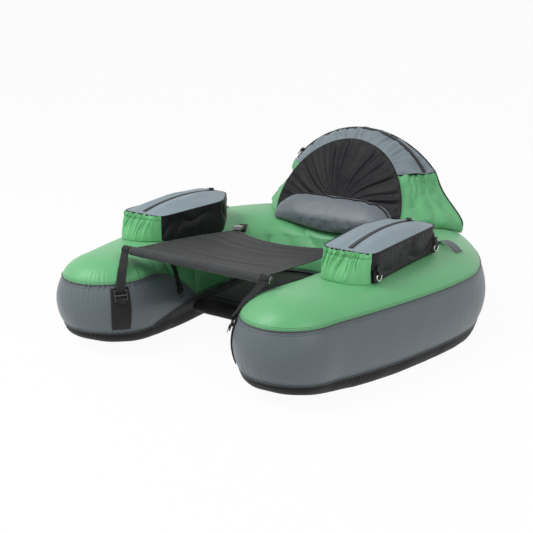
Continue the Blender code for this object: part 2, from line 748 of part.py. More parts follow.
def make_bar():
    """The stabilizer bar across the bow, with a plug in each end."""
    along = frame_at((0, BAR_Y, BAR_Z), (0, 1, 0), (1, 0, 0))
    bore = BAR_RADIUS - BAR_WALL
    tube = [(bore, BAR_HALF_LENGTH), (BAR_RADIUS, BAR_HALF_LENGTH)]
    tube += [(BAR_RADIUS, -BAR_HALF_LENGTH), (bore, -BAR_HALF_LENGTH)]
    turned("stabilizer_bar", tube, "bar_aluminium", along)
    head = BAR_HALF_LENGTH + FIT
    top = head + PLUG_HEAD_HEIGHT
    plug = [(0, top), (PLUG_HEAD_RADIUS / 2, top), (PLUG_HEAD_RADIUS, head + FIT), (PLUG_HEAD_RADIUS, head)]
    foot = BAR_HALF_LENGTH - PLUG_DEPTH
    plug += [(bore - FIT, head), (bore - FIT, foot), (0, foot)]
    for word, side in SIDES:
        outward = frame_at((0, BAR_Y, BAR_Z), (0, side, 0), (side, 0, 0))
        turned("bar_plug_" + word, plug, "steel", outward)


def tip_frame(side, share, lift):
    """Frame on the tip's side band: X across the patch, Z out of the hull."""
    centre, reach = tip_station(math.pi - PATCH_ANGLE)
    point = hull_point(centre, reach, share)
    above = hull_point(centre, reach, share - TIP_SLOPE_SHARE)
    outward = np.array((*(reach / np.linalg.norm(reach)), 0.0))
    across = np.cross((0, 0, 1), outward)
    normal = np.cross(across, above - point)
    normal = normal / np.linalg.norm(normal)
    base = point + normal * lift
    if side < 0:
        base, across, normal = (value * np.array((-1, 1, 1)) for value in (base, across, normal))
        across = -across
    return frame_at(base, across, normal)


def make_tip_patches():
    """Webbing patches on the tips' inner front corners, and the ladder locks over them."""
    spread = PATCH_WIDTH / 2 / (TIP_RADIUS + BAND_BULGE)
    angles = np.linspace(math.pi - PATCH_ANGLE + spread, math.pi - PATCH_ANGLE - spread, 5)
    shares = TOP_SHARE + BAND_SHARE * np.linspace(PATCH_TOP, PATCH_FOOT, 7)
    rows = []
    for angle in angles:
        centre, reach = tip_station(angle)
        outward = np.array((*(reach / np.linalg.norm(reach)), 0.0))
        rows.append([hull_point(centre, reach, share) + outward * SKIN_LIFT for share in shares])
    share = TOP_SHARE + BAND_SHARE * (UPPER_SEAM_Z - LOCK_Z) / SEAM_HEIGHT
    behind = SKIN_LIFT + PATCH_THICKNESS + STRAP_THICKNESS + 4 * FIT
    for word, side in SIDES:
        sheet("tip_patch_" + word, rows, PATCH_THICKNESS, "webbing", side=side, outward=True)
        frame = tip_frame(side, share, behind + LOCK_THICKNESS / 2)
        size = (LOCK_WIDTH, LOCK_HEIGHT, LOCK_THICKNESS)
        lock = block("ladder_lock_" + word, size, "black_plastic", frame)
        slot = (LOCK_HEIGHT - 3 * LOCK_BAR) / 2
        for sign in (-1, 1):
            shift = Matrix.Translation((0, sign * (slot + LOCK_BAR) / 2, 0))
            cut(lock, (LOCK_WIDTH - LOCK_BAR - FIT, slot, 3 * LOCK_THICKNESS), frame @ shift)


def make_front_straps():
    """Straps from the bar's ends, over the tips, woven through the ladder locks."""
    share = TOP_SHARE + BAND_SHARE * (UPPER_SEAM_Z - LOCK_Z) / SEAM_HEIGHT
    behind = SKIN_LIFT + PATCH_THICKNESS + STRAP_THICKNESS + 4 * FIT
    frame = tip_frame(1, share, behind + LOCK_THICKNESS / 2)
    slot = (LOCK_HEIGHT - 3 * LOCK_BAR) / 2
    clear = (LOCK_THICKNESS + STRAP_THICKNESS) / 2 + FIT
    near, far = LOCK_BAR / 2 + WEAVE_MARGIN, LOCK_BAR / 2 + slot - WEAVE_MARGIN
    weave = [(0, LOCK_HEIGHT / 2 + LOCK_BAR, clear + FIT), (0, far, clear), (0, near, -clear)]
    weave += [(0, -near, -clear), (0, -far, clear), (0, -LOCK_HEIGHT / 2 - 2 * LOCK_BAR, clear + FIT)]
    woven = in_frame(frame, weave)
    across = np.array(frame.col[0][:3])
    turns = [math.radians(turn) for turn in (-50, -20, 10, 40, 70, 100, 130, 160, 190)]
    ride = (BAR_RADIUS + FIT) / math.cos((turns[1] - turns[0]) / 2) + STRAP_THICKNESS / 2
    wrap = [(STRAP_BAR_X, BAR_Y + ride * math.cos(turn), BAR_Z + ride * math.sin(turn)) for turn in turns]
    start, end = np.array(wrap[-1]), np.array(woven[0])
    spine = [(np.array(point), np.array((1.0, 0.0, 0.0))) for point in wrap]
    for step in np.linspace(0, 1, FRONT_STRAP_STEPS + 2)[1:-1]:
        sideways = mix(np.array((1.0, 0.0, 0.0)), across, step)
        sideways = sideways / np.linalg.norm(sideways)
        point = mix(start, end, step)
        point[2] = max(point[2], widest_height(point[0], point[1], sideways) + 3 * SKIN_LIFT)
        spine.append((point, sideways))
    spine += [(np.array(point), across) for point in woven]
    half = STRAP_WIDTH / 2
    rows = [[point - sideways * half, point + sideways * half] for point, sideways in spine]
    for word, side in SIDES:
        made = sheet("front_strap_" + word, rows, STRAP_THICKNESS, "webbing", side=side)
        made.modifiers["thickness"].offset = 0


def apron_point(column, row):
    """A point of the apron behind its sleeve; column runs -1 to 1 and row 0 to 1, front to rear."""
    rear_y = mix(APRON_MIDDLE_Y, APRON_CORNER_Y, abs(column) ** 2)
    front_y = BAR_Y + BAR_RADIUS + APRON_THICKNESS
    half = mix(SLEEVE_HALF, APRON_REAR_HALF, row ** 2)
    sag = APRON_SAG * (1 - column ** 2) * math.sin(math.pi * row)
    front_z = BAR_Z + BAR_RADIUS / 2
    return (column * half, mix(front_y, rear_y, row), mix(front_z, APRON_REAR_Z, row) - sag)


def make_apron():
    """The mesh apron: a sleeve round the bar and a sheet that narrows towards the rear."""
    ride = BAR_RADIUS + 2 * FIT
    turns = [math.radians(turn) for turn in np.linspace(-35, -325, SLEEVE_STEPS)]
    rows = []
    for column in np.linspace(-1, 1, APRON_COLUMNS + 1):
        x = column * SLEEVE_HALF
        row = [(x, BAR_Y + ride * math.cos(turn), BAR_Z + ride * math.sin(turn)) for turn in turns]
        row += [apron_point(column, step / APRON_ROWS) for step in range(1, APRON_ROWS + 1)]
        rows.append(row[::-1])
    pivot = (0, BAR_Y, BAR_Z)
    sheet("apron_mesh", rows, APRON_THICKNESS, "apron_mesh", outward=True, origin=pivot)


def buckle_frame(side):
    """Frame of one apron buckle: X towards the rear along the strap and the apron's fall, Z up."""
    heading = (math.sin(BUCKLE_HEADING) * side, math.cos(BUCKLE_HEADING), -BUCKLE_PITCH)
    return frame_at((BUCKLE_X * side, BUCKLE_Y, BUCKLE_Z), heading, UP)


def make_buckles():
    """Side-release buckles: a tongue on the apron's corner, a housing on a webbing anchor."""
    plate, prong = TONGUE_WIDTH / 2, PRONG_WIDTH / 2
    outline = [(-TONGUE_LENGTH / 2, -plate), (-FIT, -plate), (-FIT, -prong), (PRONG_LENGTH, -prong / 2)]
    outline += [(x, -y) for x, y in reversed(outline)]
    half = TONGUE_THICKNESS / 2
    outer = (HOUSING_LENGTH, HOUSING_WIDTH / 2, HOUSING_THICKNESS / 2)
    inner = (PRONG_LENGTH + 2 * FIT, outer[1] - HOUSING_WALL, outer[2] - HOUSING_WALL)

    def section(x, size):
        corners = ((-1, -1), (1, -1), (1, 1), (-1, 1))
        return [(x, size[1] * across, size[2] * up) for across, up in corners]

    for word, side in SIDES:
        frame = buckle_frame(side)
        tongue = [in_frame(frame, [(x, y, z) for x, y in outline]) for z in (-half, half)]
        loft("buckle_tongue_" + word, tongue, "grey_plastic", frame.translation)
        cup = [section(HOUSING_LENGTH, outer), section(0, outer), section(0, inner), section(inner[0], inner)]
        loft("buckle_housing_" + word, [in_frame(frame, ring) for ring in cup], "grey_plastic")
        start = frame @ Vector((HOUSING_LENGTH + FIT, 0, 0))
        middle = frame @ Vector((HOUSING_LENGTH + ANCHOR_BEND, 0, -ANCHOR_DIP))
        across = frame.col[1][:3]
        points = [start, middle]
        for reach in (ANCHOR_FOOT, ANCHOR_REST, ANCHOR_END):
            x, y, _ = frame @ Vector((reach, 0, 0))
            points.append((x, y, widest_height(x, y, across) + 2 * SKIN_LIFT))
        strap("anchor_strap_" + word, points, across, STRAP_WIDTH, "webbing")


def wall_bulge(z):
    """How far the hull's side wall stands out from its seams at one height, away from the tips."""
    run = clamp((UPPER_SEAM_Z - z) / SEAM_HEIGHT)
    return BAND_BULGE * (1 - (2 * run - 1) ** 2)


def seat_outline(shrink, z):
    """Plan outline of the seat against the bay's wall at one height, pulled in by a distance."""
    clear = wall_bulge(z) + 2 * FIT + shrink
    front = SEAT_FRONT_Y + shrink
    half = [(inner_seam_x(y) - clear, y) for y in np.linspace(front, BAY_CENTRE_Y, 6)]
    for step in range(1, STERN_STEPS + 1):
        angle = math.pi / 2 * step / STERN_STEPS
        reach = bay_reach(angle) - clear
        half.append((reach * math.cos(angle), BAY_CENTRE_Y + reach * math.sin(angle)))
    return half + [(-x, y) for x, y in reversed(half[:-1])]


def make_seat():
    """The padded seat between the arms, with its mesh panel."""
    levels = [(SEAT_ROUNDING, SEAT_BOTTOM_Z), (0, SEAT_BOTTOM_Z + SEAT_ROUNDING)]
    levels += [(0, SEAT_TOP_Z - SEAT_ROUNDING), (SEAT_ROUNDING, SEAT_TOP_Z)]
    rings = [[(x, y, z) for x, y in seat_outline(shrink, z)] for shrink, z in levels]
    loft("seat_cushion", rings, "black_fabric")
    base = SEAT_TOP_Z + FIT
    middle_y = (SEAT_FRONT_Y + BAY_CENTRE_Y + BAY_REACH) / 2
    panel = []
    for z in (base, base + SEAT_MESH_THICKNESS):
        outline = seat_outline(SEAT_ROUNDING, SEAT_TOP_Z)
        panel.append([(x * SEAT_MESH_SHARE, mix(middle_y, y, SEAT_MESH_SHARE), z) for x, y in outline])
    loft("seat_mesh", panel, "apron_mesh")


def make_ring_and_tab(names, frame, lead=()):
    """A D-ring hung in a folded webbing tab, which may be the foot of a longer strap.

    The frame is centred on the ring's straight bar: X along the bar, Y up the wall, Z off the wall.
    """
    ply = EYE_RADIUS + TAB_THICKNESS / 2
    top = EYE_RADIUS + TAB_LENGTH
    close = TAB_THICKNESS + FIT - ply
    folds = [math.radians(turn) for turn in (180, 216, 252, 288, 324, 360)]
    path = [] if lead else [(0, top, -ply), (0, top / 2, -ply)]
    path += [(0, ply * math.sin(turn), ply * math.cos(turn)) for turn in folds]
    path += [(0, top / 3, ply - FIT), (0, top / 2, close), (0, top, close)]
    tab_name, ring_name = names
    points = [*lead, *in_frame(frame, path)]
    strap(tab_name, points, frame.col[0][:3], TAB_WIDTH, "webbing", TAB_THICKNESS)
    turns = np.linspace(math.pi, 2 * math.pi, 9)
    bend = [(math.cos(t) * DRING_HALF_WIDTH, math.sin(t) * DRING_HALF_WIDTH - DRING_DROP, 0) for t in turns]
    loop = [(-DRING_HALF_WIDTH, 0, 0), *bend, (DRING_HALF_WIDTH, 0, 0)]
    wire(ring_name, in_frame(frame, loop), RING_WIRE, "steel", True, frame.translation)


def make_seat_rings():
    """Straps sewn to the bay's inner walls, each with a D-ring at its foot."""
    centre, reach = arm_station(SEAT_STRAP_Y)
    ply = EYE_RADIUS + TAB_THICKNESS
    shares = [TOP_SHARE * run for run in np.linspace(*SEAT_STRAP_TOP_SHARES, 6)]
    shares += [TOP_SHARE + BAND_SHARE * run for run in np.linspace(*SEAT_STRAP_WALL_SHARES, 6)]
    wall = [hull_point(centre, -reach, share) for share in shares]
    lift = np.array((-1.0, 0.0, WALL_LEAN)) * (TAB_THICKNESS / 2 + 2 * FIT)
    for word, side in SIDES:
        lead = mirrored_points([point + lift for point in wall], side)
        face = inner_seam_x(SEAT_STRAP_Y) - BAND_BULGE - 2 * SKIN_LIFT - STRAP_THICKNESS
        origin = ((face - ply) * side, SEAT_STRAP_Y, SEAT_RING_Z)
        frame = frame_at(origin, (0, -side, 0), (-side, 0, 0))
        make_ring_and_tab(("seat_strap_" + word, "seat_ring_" + word), frame, lead)


def bag_inner_x(y):
    """Inner edge of a gear bag's plan, which turns outward at its rear corner."""
    if y < BAG_TURN_Y:
        return mix(BAG_FRONT_INNER_X, BAG_TURN_INNER_X, (y - BAG_FRONT_Y) / (BAG_TURN_Y - BAG_FRONT_Y))
    return mix(BAG_TURN_INNER_X, BAG_REAR_INNER_X, (y - BAG_TURN_Y) / (BAG_REAR_Y - BAG_TURN_Y))


def bag_seam_z(y):
    """Height of the seam between a gear bag's sides and its lid."""
    return mix(BAG_SEAM_FRONT_Z, BAG_SEAM_REAR_Z, (y - BAG_FRONT_Y) / (BAG_REAR_Y - BAG_FRONT_Y))


def bag_levels():
    """Section positions along a gear bag, with a short rounded corner at each end."""
    inside = np.linspace(BAG_FRONT_Y + BAG_CORNER, BAG_TURN_Y, BAG_STATIONS - 2)
    behind = np.linspace(BAG_TURN_Y, BAG_REAR_Y - BAG_CORNER, 3)[1:]
    return [BAG_FRONT_Y, *inside, *behind, BAG_REAR_Y]


def bag_edges(y):
    """Inner and outer edge of a gear bag at one section."""
    end = min(y - BAG_FRONT_Y, BAG_REAR_Y - y)
    tuck = BAG_CORNER * (1 - clamp(end / BAG_CORNER))
    return bag_inner_x(y) + tuck, BAG_OUTER_X - tuck


def ridge_circle():
    """Centre (y, z) of the arc that a gear bag's zip follows, and half the arc's angle."""
    front, rear = BAG_FRONT_Y + RIDGE_MARGIN, BAG_REAR_Y - RIDGE_MARGIN
    chord = Vector((rear - front, RIDGE_REAR_Z - RIDGE_FRONT_Z))
    middle = Vector(((front + rear) / 2, (RIDGE_FRONT_Z + RIDGE_REAR_Z) / 2))
    drop = math.sqrt(RIDGE_RADIUS ** 2 - (chord.length / 2) ** 2)
    normal = Vector((-chord.y, chord.x)).normalized()
    centre = middle - normal * drop
    lean = math.atan2(normal.x, normal.y)
    return centre, lean, math.asin(chord.length / 2 / RIDGE_RADIUS)


def ridge_z(y):
    """Height of the arc at one section."""
    centre, _, _ = ridge_circle()
    return centre.y + math.sqrt(RIDGE_RADIUS ** 2 - (y - centre.x) ** 2)


def bag_body_ring(y):
    """Closed section of a bag's body: base on the hull, bulged sides, flat top."""
    inner, outer = bag_edges(y)
    top = bag_seam_z(y)
    base = [over_hull(x, y, BAG_LIFT) for x in np.linspace(inner, outer, BAG_BASE_STEPS)]
    wall = [(outer + BAG_SIDE_BULGE, y, mix(base[-1][2], top, 0.5)), (outer, y, top), (inner, y, top)]
    return base + wall + [(inner - BAG_SIDE_BULGE / 2, y, mix(base[0][2], top, 0.5))]


def bag_lid_ring(y):
    """Closed section of a bag's crowned lid."""
    inner, outer = bag_edges(y)
    foot = bag_seam_z(y) + FIT
    rise = max(ridge_z(y) - foot, LID_EDGE)
    ring = [(inner, y, foot), (outer, y, foot)]
    for share in LID_SECTION_SHARES:
        x = RIDGE_X + share * (outer - RIDGE_X if share > 0 else RIDGE_X - inner)
        ring.append((x, y, foot + LID_EDGE + (rise - LID_EDGE) * (1 - abs(share) ** LID_POWER)))
    return ring


def pocket_ring(x, share):
    """Closed section, at one x, of the gathered pocket in front of a gear bag."""
    swell = (1 - abs(share) ** POCKET_POWER)
    wall = BAG_FRONT_Y - FIT
    mouth = wall - POCKET_RIM - (POCKET_MOUTH_DEPTH - POCKET_RIM) * swell
    deep = wall - POCKET_RIM - (POCKET_DEPTH - POCKET_RIM) * swell
    foot = wall - POCKET_RIM - POCKET_FOOT_SHARE * (POCKET_DEPTH - POCKET_RIM) * swell
    steps = [(mix(wall, foot, run)) for run in (0, 0.5, 1)]
    ring = [over_hull(x, y, SKIN_LIFT) for y in steps]
    low = ring[-1][2]
    for level in range(1, POCKET_LEVELS + 1):
        run = level / POCKET_LEVELS
        out = mix(mix(foot, deep, math.sin(math.pi * min(run / POCKET_BELLY_SHARE, 1) / 2)), mouth, run ** 2)
        ring.append((x, out, mix(low, POCKET_MOUTH_Z, run)))
    ring.append((x, wall, POCKET_MOUTH_Z))
    return ring


def zip_rows(points, sideways, width):
    """Rows of a zip strip along a line, from one edge to the other."""
    half = np.array(sideways) * width / 2
    return [[np.array(point) + half, np.array(point) - half] for point in points]


def slider_solids(names, frame, lift, pivot, side_axis):
    """A zip slider with two ears and the pull tab between them, on a frame with X along the zip."""
    slider_name, pull_name = names
    low, floor = lift, lift + SLIDER_BASE
    high = floor + SLIDER_EAR_HEIGHT
    half, gap = SLIDER_WIDTH / 2, SLIDER_WIDTH / 2 - SLIDER_EAR_WIDTH
    profile = [(-half, low), (half, low), (half, high), (gap, high), (gap, floor), (-gap, floor)]
    profile += [(-gap, high), (-half, high)]
    ends = (-SLIDER_LENGTH / 2, SLIDER_LENGTH / 2)
    rings = [in_frame(frame, [(x, y, z) for y, z in profile]) for x in ends]
    loft(slider_name, rings, "black_plastic", pivot)
    hinge = frame @ Vector((0, 0, floor + PULL_LIFT))
    half_width, half_thick = PULL_WIDTH / 2, PULL_THICKNESS / 2
    taper = PULL_LENGTH * PULL_TAPER_SHARE
    outline = [(-half_thick, -half_width), (taper, -half_width), (PULL_LENGTH, -half_width / 2)]
    outline += [(x, -y) for x, y in reversed(outline)]
    local = frame_at(hinge, side_axis, frame.col[2][:3])
    rings = [in_frame(local, [(x, y, z) for x, y in outline]) for z in (-half_thick, half_thick)]
    loft(pull_name, rings, "black_plastic", hinge)


def make_bags():
    """Two zipped gear bags on the arms, each with a front pocket, a zip and two D-rings."""
    circle, lean, half_turn = ridge_circle()
    body = [bag_body_ring(y) for y in bag_levels()]
    lid = [bag_lid_ring(y) for y in bag_levels()]
    shares = np.linspace(-1, 1, POCKET_STATIONS)
    inner, outer = bag_edges(BAG_FRONT_Y)
    middle, half = (inner + outer) / 2, (outer - inner) / 2 - FIT
    pocket = [pocket_ring(middle + half * share, share) for share in shares]
    for word, side in SIDES:
        loft("bag_body_" + word, [mirrored_points(ring, side) for ring in body], "black_fabric")
        loft("bag_lid_" + word, [mirrored_points(ring, side) for ring in lid], "bag_grey")
        loft("bag_pocket_" + word, [mirrored_points(ring, side) for ring in pocket], "pocket_green")
        ride = RIDGE_RADIUS + FIT + ZIP_THICKNESS / 4
        turns = np.linspace(lean - half_turn, lean + half_turn, ZIP_STEPS + 1)
        line = [(RIDGE_X * side, circle.x + ride * math.sin(t), circle.y + ride * math.cos(t)) for t in turns]
        rows = zip_rows(line, (-1, 0, 0), ZIP_WIDTH)
        sheet("bag_zip_" + word, rows, ZIP_THICKNESS, "zip_black", outward=True)
        turn = lean + half_turn - SLIDER_LENGTH / RIDGE_RADIUS
        normal = (0, math.sin(turn), math.cos(turn))
        pivot = (RIDGE_X * side, circle.x, circle.y)
        base = Vector(pivot) + Vector(normal) * (ride + ZIP_THICKNESS)
        along = (0, math.cos(turn), -math.sin(turn))
        frame = frame_at(base, along, normal)
        names = ("bag_slider_" + word, "bag_pull_" + word)
        slider_solids(names, frame, FIT, pivot, [-value for value in along])
        for place_word, y in (("front", BAG_FRONT_Y + RING_INSET), ("rear", BAG_REAR_Y - RING_INSET)):
            low = top_height(BAG_OUTER_X, y)
            out = BAG_OUTER_X + BAG_SIDE_BULGE + FIT + TAB_THICKNESS + EYE_RADIUS
            origin = (out * side, y, low + RING_RAISE)
            frame = frame_at(origin, (0, side, 0), (side, 0, 0))
            names = ("bag_tab_%s_%s" % (place_word, word), "bag_ring_%s_%s" % (place_word, word))
            make_ring_and_tab(names, frame)


def back_plane_y(z):
    """Front plane of the backrest's panel, which leans back."""
    return BACK_Y + BACK_SLOPE * (z - BACK_BASE_Z)


def seat_of(x, first_y, last_y):
    """Height that clears the hull under a part between two y positions."""
    return max(top_height(x, y) for y in np.linspace(first_y, last_y, 5)) + SKIN_LIFT


def panel_top(x):
    """Top edge of the backrest's panel."""
    arch = (1 - clamp(abs(x) / BACK_HALF_WIDTH) ** BACK_ARCH_POWER) ** (1 / BACK_ARCH_POWER)
    return BACK_SHOULDER_Z + (BACK_TOP_Z - BACK_SHOULDER_Z) * arch


def panel_half(z):
    """Half width of the backrest's panel at one height."""
    climb = clamp((z - BACK_SHOULDER_Z) / (BACK_TOP_Z - BACK_SHOULDER_Z))
    return BACK_HALF_WIDTH * (1 - climb ** BACK_ARCH_POWER) ** (1 / BACK_ARCH_POWER)


def make_back_panel():
    """The backrest's half-disc panel."""
    rings = []
    for step in range(PANEL_STATIONS):
        x = -BACK_HALF_WIDTH * math.cos(math.pi * step / (PANEL_STATIONS - 1))
        low, high = seat_of(x, BACK_Y - SEAT_BEFORE, BACK_Y + SEAT_BEHIND), panel_top(x)
        levels = (low, mix(low, high, 0.5), high)
        front = [(x, back_plane_y(z), z) for z in levels]
        rear = [(x, back_plane_y(z) + PANEL_THICKNESS, z) for z in reversed(levels)]
        rings.append(front + rear)
    loft("back_panel", rings, "black_fabric")


def make_lumbar_pad():
    """The padded lumbar cushion in front of the panel."""
    rings = []
    for share in np.linspace(-1, 1, PAD_STATIONS):
        x = PAD_HALF_WIDTH * math.sin(math.pi / 2 * share)
        arch = (1 - abs(x / PAD_HALF_WIDTH) ** PAD_POWER) ** (1 / PAD_POWER)
        depth = mix(PAD_EDGE_DEPTH, PAD_DEPTH, arch)
        low = seat_of(x, BACK_Y - depth, BACK_Y + SEAT_BEHIND)
        high = max(mix(BACK_BASE_Z, PAD_TOP_Z, arch), low + PAD_EDGE_DEPTH)
        ring = []
        for run, out in PAD_SECTION_SHARES:
            z = mix(low, high, run)
            ring.append((x, back_plane_y(z) - FIT - depth * out, z))
        rings.append(ring)
    loft("lumbar_pad", rings, "grey_fabric")


def through_three(values, share):
    """A parabola through values at 0, at the zip's share and at 1."""
    first, middle, last = values
    spot = BACK_ZIP_SHARE
    bend = ((middle - first) / spot - (last - first)) / (spot - 1)
    return first + (last - first - bend) * share + bend * share ** 2


def pouch_y(share, z):
    """Depth position in the pouch behind the panel, share 0 at the panel and 1 at the rear."""
    return mix(back_plane_y(z) + PANEL_THICKNESS + FIT, POUCH_REAR_Y, share)


def arch_circle(share):
    """Half width, lean factor, radius and centre height of the pouch's arch at one depth."""
    half = through_three(ARCH_HALF_WIDTHS, share)
    rise = through_three(ARCH_RISES, share)
    upright = math.cos(math.atan(BACK_SLOPE * (1 - share)))
    radius = (half ** 2 + (rise / upright) ** 2) / (2 * rise / upright)
    return half, upright, radius, POUCH_SPLIT_Z + rise - radius * upright


def make_pouch():
    """The storage pouch behind the panel: grey arched top and green lower body."""
    upper, lower = [], []
    for share in np.linspace(0, 1, POUCH_STATIONS):
        half, upright, radius, centre = arch_circle(share)
        limit = math.acos((POUCH_SPLIT_Z - centre) / (radius * upright))
        arch = []
        for turn in np.linspace(-limit, limit, ARCH_STEPS + 1):
            z = centre + radius * math.cos(turn) * upright
            arch.append((radius * math.sin(turn), pouch_y(share, z), z + FIT))
        upper.append(arch)
        shoulder = mix(panel_half(POUCH_SHOULDER_Z), POUCH_SHOULDER_HALF, share)
        foot = mix(BACK_HALF_WIDTH, POUCH_FOOT_HALF, share)
        base = []
        for x in np.linspace(-foot, foot, POUCH_FOOT_POINTS):
            y = pouch_y(share, POUCH_FOOT_Z)
            base.append((x, y, seat_of(x, y - SEAT_BEFORE, y + SEAT_BEHIND)))
        sides = [(foot, mix(base[-1][2], POUCH_SHOULDER_Z, POUCH_HAUNCH_SHARE)), (shoulder, POUCH_SHOULDER_Z)]
        sides += [(half, POUCH_SPLIT_Z)]
        right = [(x, pouch_y(share, z), z) for x, z in sides]
        left = [(-x, y, z) for x, y, z in reversed(right)]
        lower.append([(x, pouch_y(share, z), z) for x, _, z in base] + right + left)
    loft("pouch_top", upper, "grey_fabric")
    loft("pouch_body", lower, "green_fabric")


def make_back_zip():
    """The arched zip over the pouch, with its slider and pull."""
    _, _, radius, centre = arch_circle(BACK_ZIP_SHARE)
    pivot = Vector((0, pouch_y(BACK_ZIP_SHARE, centre), centre))
    lean = BACK_SLOPE * (1 - BACK_ZIP_SHARE)
    upward = Vector((0, lean, 1)).normalized()
    axis = Vector((0, 1, -lean)).normalized()
    ride = radius + BACK_ZIP_LIFT
    turns = np.linspace(-BACK_ZIP_HALF_ANGLE, BACK_ZIP_HALF_ANGLE, 2 * ZIP_STEPS + 1)
    line = [pivot + (Vector((1, 0, 0)) * math.sin(t) + upward * math.cos(t)) * ride for t in turns]
    rows = zip_rows(line, axis, BACK_ZIP_WIDTH)
    sheet("back_zip", rows, ZIP_THICKNESS, "zip_black", outward=True)
    turn = SLIDER_LENGTH / radius - BACK_ZIP_HALF_ANGLE
    normal = Vector((1, 0, 0)) * math.sin(turn) + upward * math.cos(turn)
    along = Vector((1, 0, 0)) * math.cos(turn) - upward * math.sin(turn)
    frame = frame_at(pivot + normal * (ride + ZIP_THICKNESS), along, normal)
    slider_solids(("back_slider", "back_pull"), frame, FIT, pivot, -along)


def make_handles():
    """Webbing carry handles on the hull behind the gear bags."""
    inner, outer = np.array(HANDLE_INNER), np.array(HANDLE_OUTER)
    along = (outer - inner) / np.linalg.norm(outer - inner)
    across = (-along[1], along[0], 0)
    points = []
    for run in np.linspace(0, 1, 8):
        x, y = mix(inner, outer, run)
        foot = widest_height(x, y, across) + STRAP_THICKNESS / 2 + FIT
        points.append((x, y, foot + HANDLE_RISE * math.sin(math.pi * run)))
    for word, side in SIDES:
        width = (across[0] * side, across[1], 0)
        strap("carry_handle_" + word, mirrored_points(points, side), width, STRAP_WIDTH, "grey_webbing")


make_hull_covers()
make_bladders()
make_valves()
make_bar()
make_tip_patches()
make_front_straps()
make_apron()
make_buckles()
make_seat()
make_seat_rings()
make_bags()
make_back_panel()
make_lumbar_pad()
make_pouch()
make_back_zip()
make_handles()
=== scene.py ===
import math

import bmesh
import bpy
import numpy as np
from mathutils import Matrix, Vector


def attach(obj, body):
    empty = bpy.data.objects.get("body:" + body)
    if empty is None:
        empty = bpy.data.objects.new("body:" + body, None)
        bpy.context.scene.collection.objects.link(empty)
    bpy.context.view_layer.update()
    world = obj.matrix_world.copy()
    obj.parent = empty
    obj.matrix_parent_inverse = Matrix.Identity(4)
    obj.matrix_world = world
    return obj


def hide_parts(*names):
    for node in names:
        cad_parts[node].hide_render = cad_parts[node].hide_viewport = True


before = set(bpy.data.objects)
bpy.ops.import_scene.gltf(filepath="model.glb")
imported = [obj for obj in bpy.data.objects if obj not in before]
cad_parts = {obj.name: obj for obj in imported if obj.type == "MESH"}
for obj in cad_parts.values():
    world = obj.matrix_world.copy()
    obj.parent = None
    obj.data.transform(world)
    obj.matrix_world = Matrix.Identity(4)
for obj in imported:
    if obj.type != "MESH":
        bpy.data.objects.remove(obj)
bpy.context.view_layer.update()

# ---------------------------------------------------------------------------------------------------
# Studio: a camera low in front of the right hand tip, a pale floor and broad soft light.
# The background is white for the camera and for gloss alone, so it adds no light to the cloth.
# ---------------------------------------------------------------------------------------------------
camera_azimuth, camera_elevation = math.radians(35.82), math.radians(16.21)
camera_distance, camera_target = 2.873, Vector((-0.028, -0.1385, 0.1767))
focal_pixels, frame_pixels, sensor_width = 975.3, 533, 36.0
sky_strength, floor_tone, floor_glow, floor_reach, floor_drop = 0.42, 0.94, 0.95, 200.0, 0.0004
lamps = (("key", (-1.3, -2.0, 2.9), 1.5, 76.0), ("fill", (2.6, -1.0, 1.9), 1.4, 22.0))
pure_white = (1, 1, 1, 1)


def feed(tree, node, inputs):
    """Set a node's inputs, each to a value or to another node's output."""
    for key, value in inputs.items():
        if isinstance(value, bpy.types.NodeSocket):
            tree.links.new(value, node.inputs[key])
        else:
            node.inputs[key].default_value = value


def add_node(tree, kind, inputs, **settings):
    """A shader node with its settings and inputs."""
    made = tree.nodes.new("ShaderNode" + kind)
    for key, value in settings.items():
        setattr(made, key, value)
    feed(tree, made, inputs)
    return made


def math_node(tree, operation, first, second=0.0, clamped=False):
    """One arithmetic step on shader values."""
    return add_node(tree, "Math", {0: first, 1: second}, operation=operation, use_clamp=clamped).outputs[0]


def screen_rays(tree):
    """1 for rays that come from the camera, a gloss or a clear piece, 0 for rays that light cloth."""
    path = add_node(tree, "LightPath", {})
    seen = math_node(tree, "ADD", path.outputs["Is Camera Ray"], path.outputs["Is Glossy Ray"])
    return math_node(tree, "ADD", seen, path.outputs["Is Transmission Ray"], clamped=True)


def show_mix(owner, output, share, lighting, seen):
    """Give a world or material one shader for the rays that light, mixed with one for what is seen."""
    owner.use_nodes = True
    tree = owner.node_tree
    tree.nodes.clear()
    screen = math_node(tree, "MULTIPLY", screen_rays(tree), share)
    pair = [add_node(tree, kind, inputs).outputs[0] for kind, inputs in (lighting, seen)]
    both = add_node(tree, "MixShader", {0: screen, 1: pair[0], 2: pair[1]})
    add_node(tree, output, {0: both.outputs[0]})


def aim(name, data, place):
    """A camera or lamp at a place, turned to the camera's target."""
    holder = bpy.data.objects.new(name, data)
    holder.location = place
    holder.rotation_mode = "QUATERNION"
    holder.rotation_quaternion = (camera_target - Vector(place)).to_track_quat("-Z", "Y")
    bpy.context.scene.collection.objects.link(holder)
    return holder


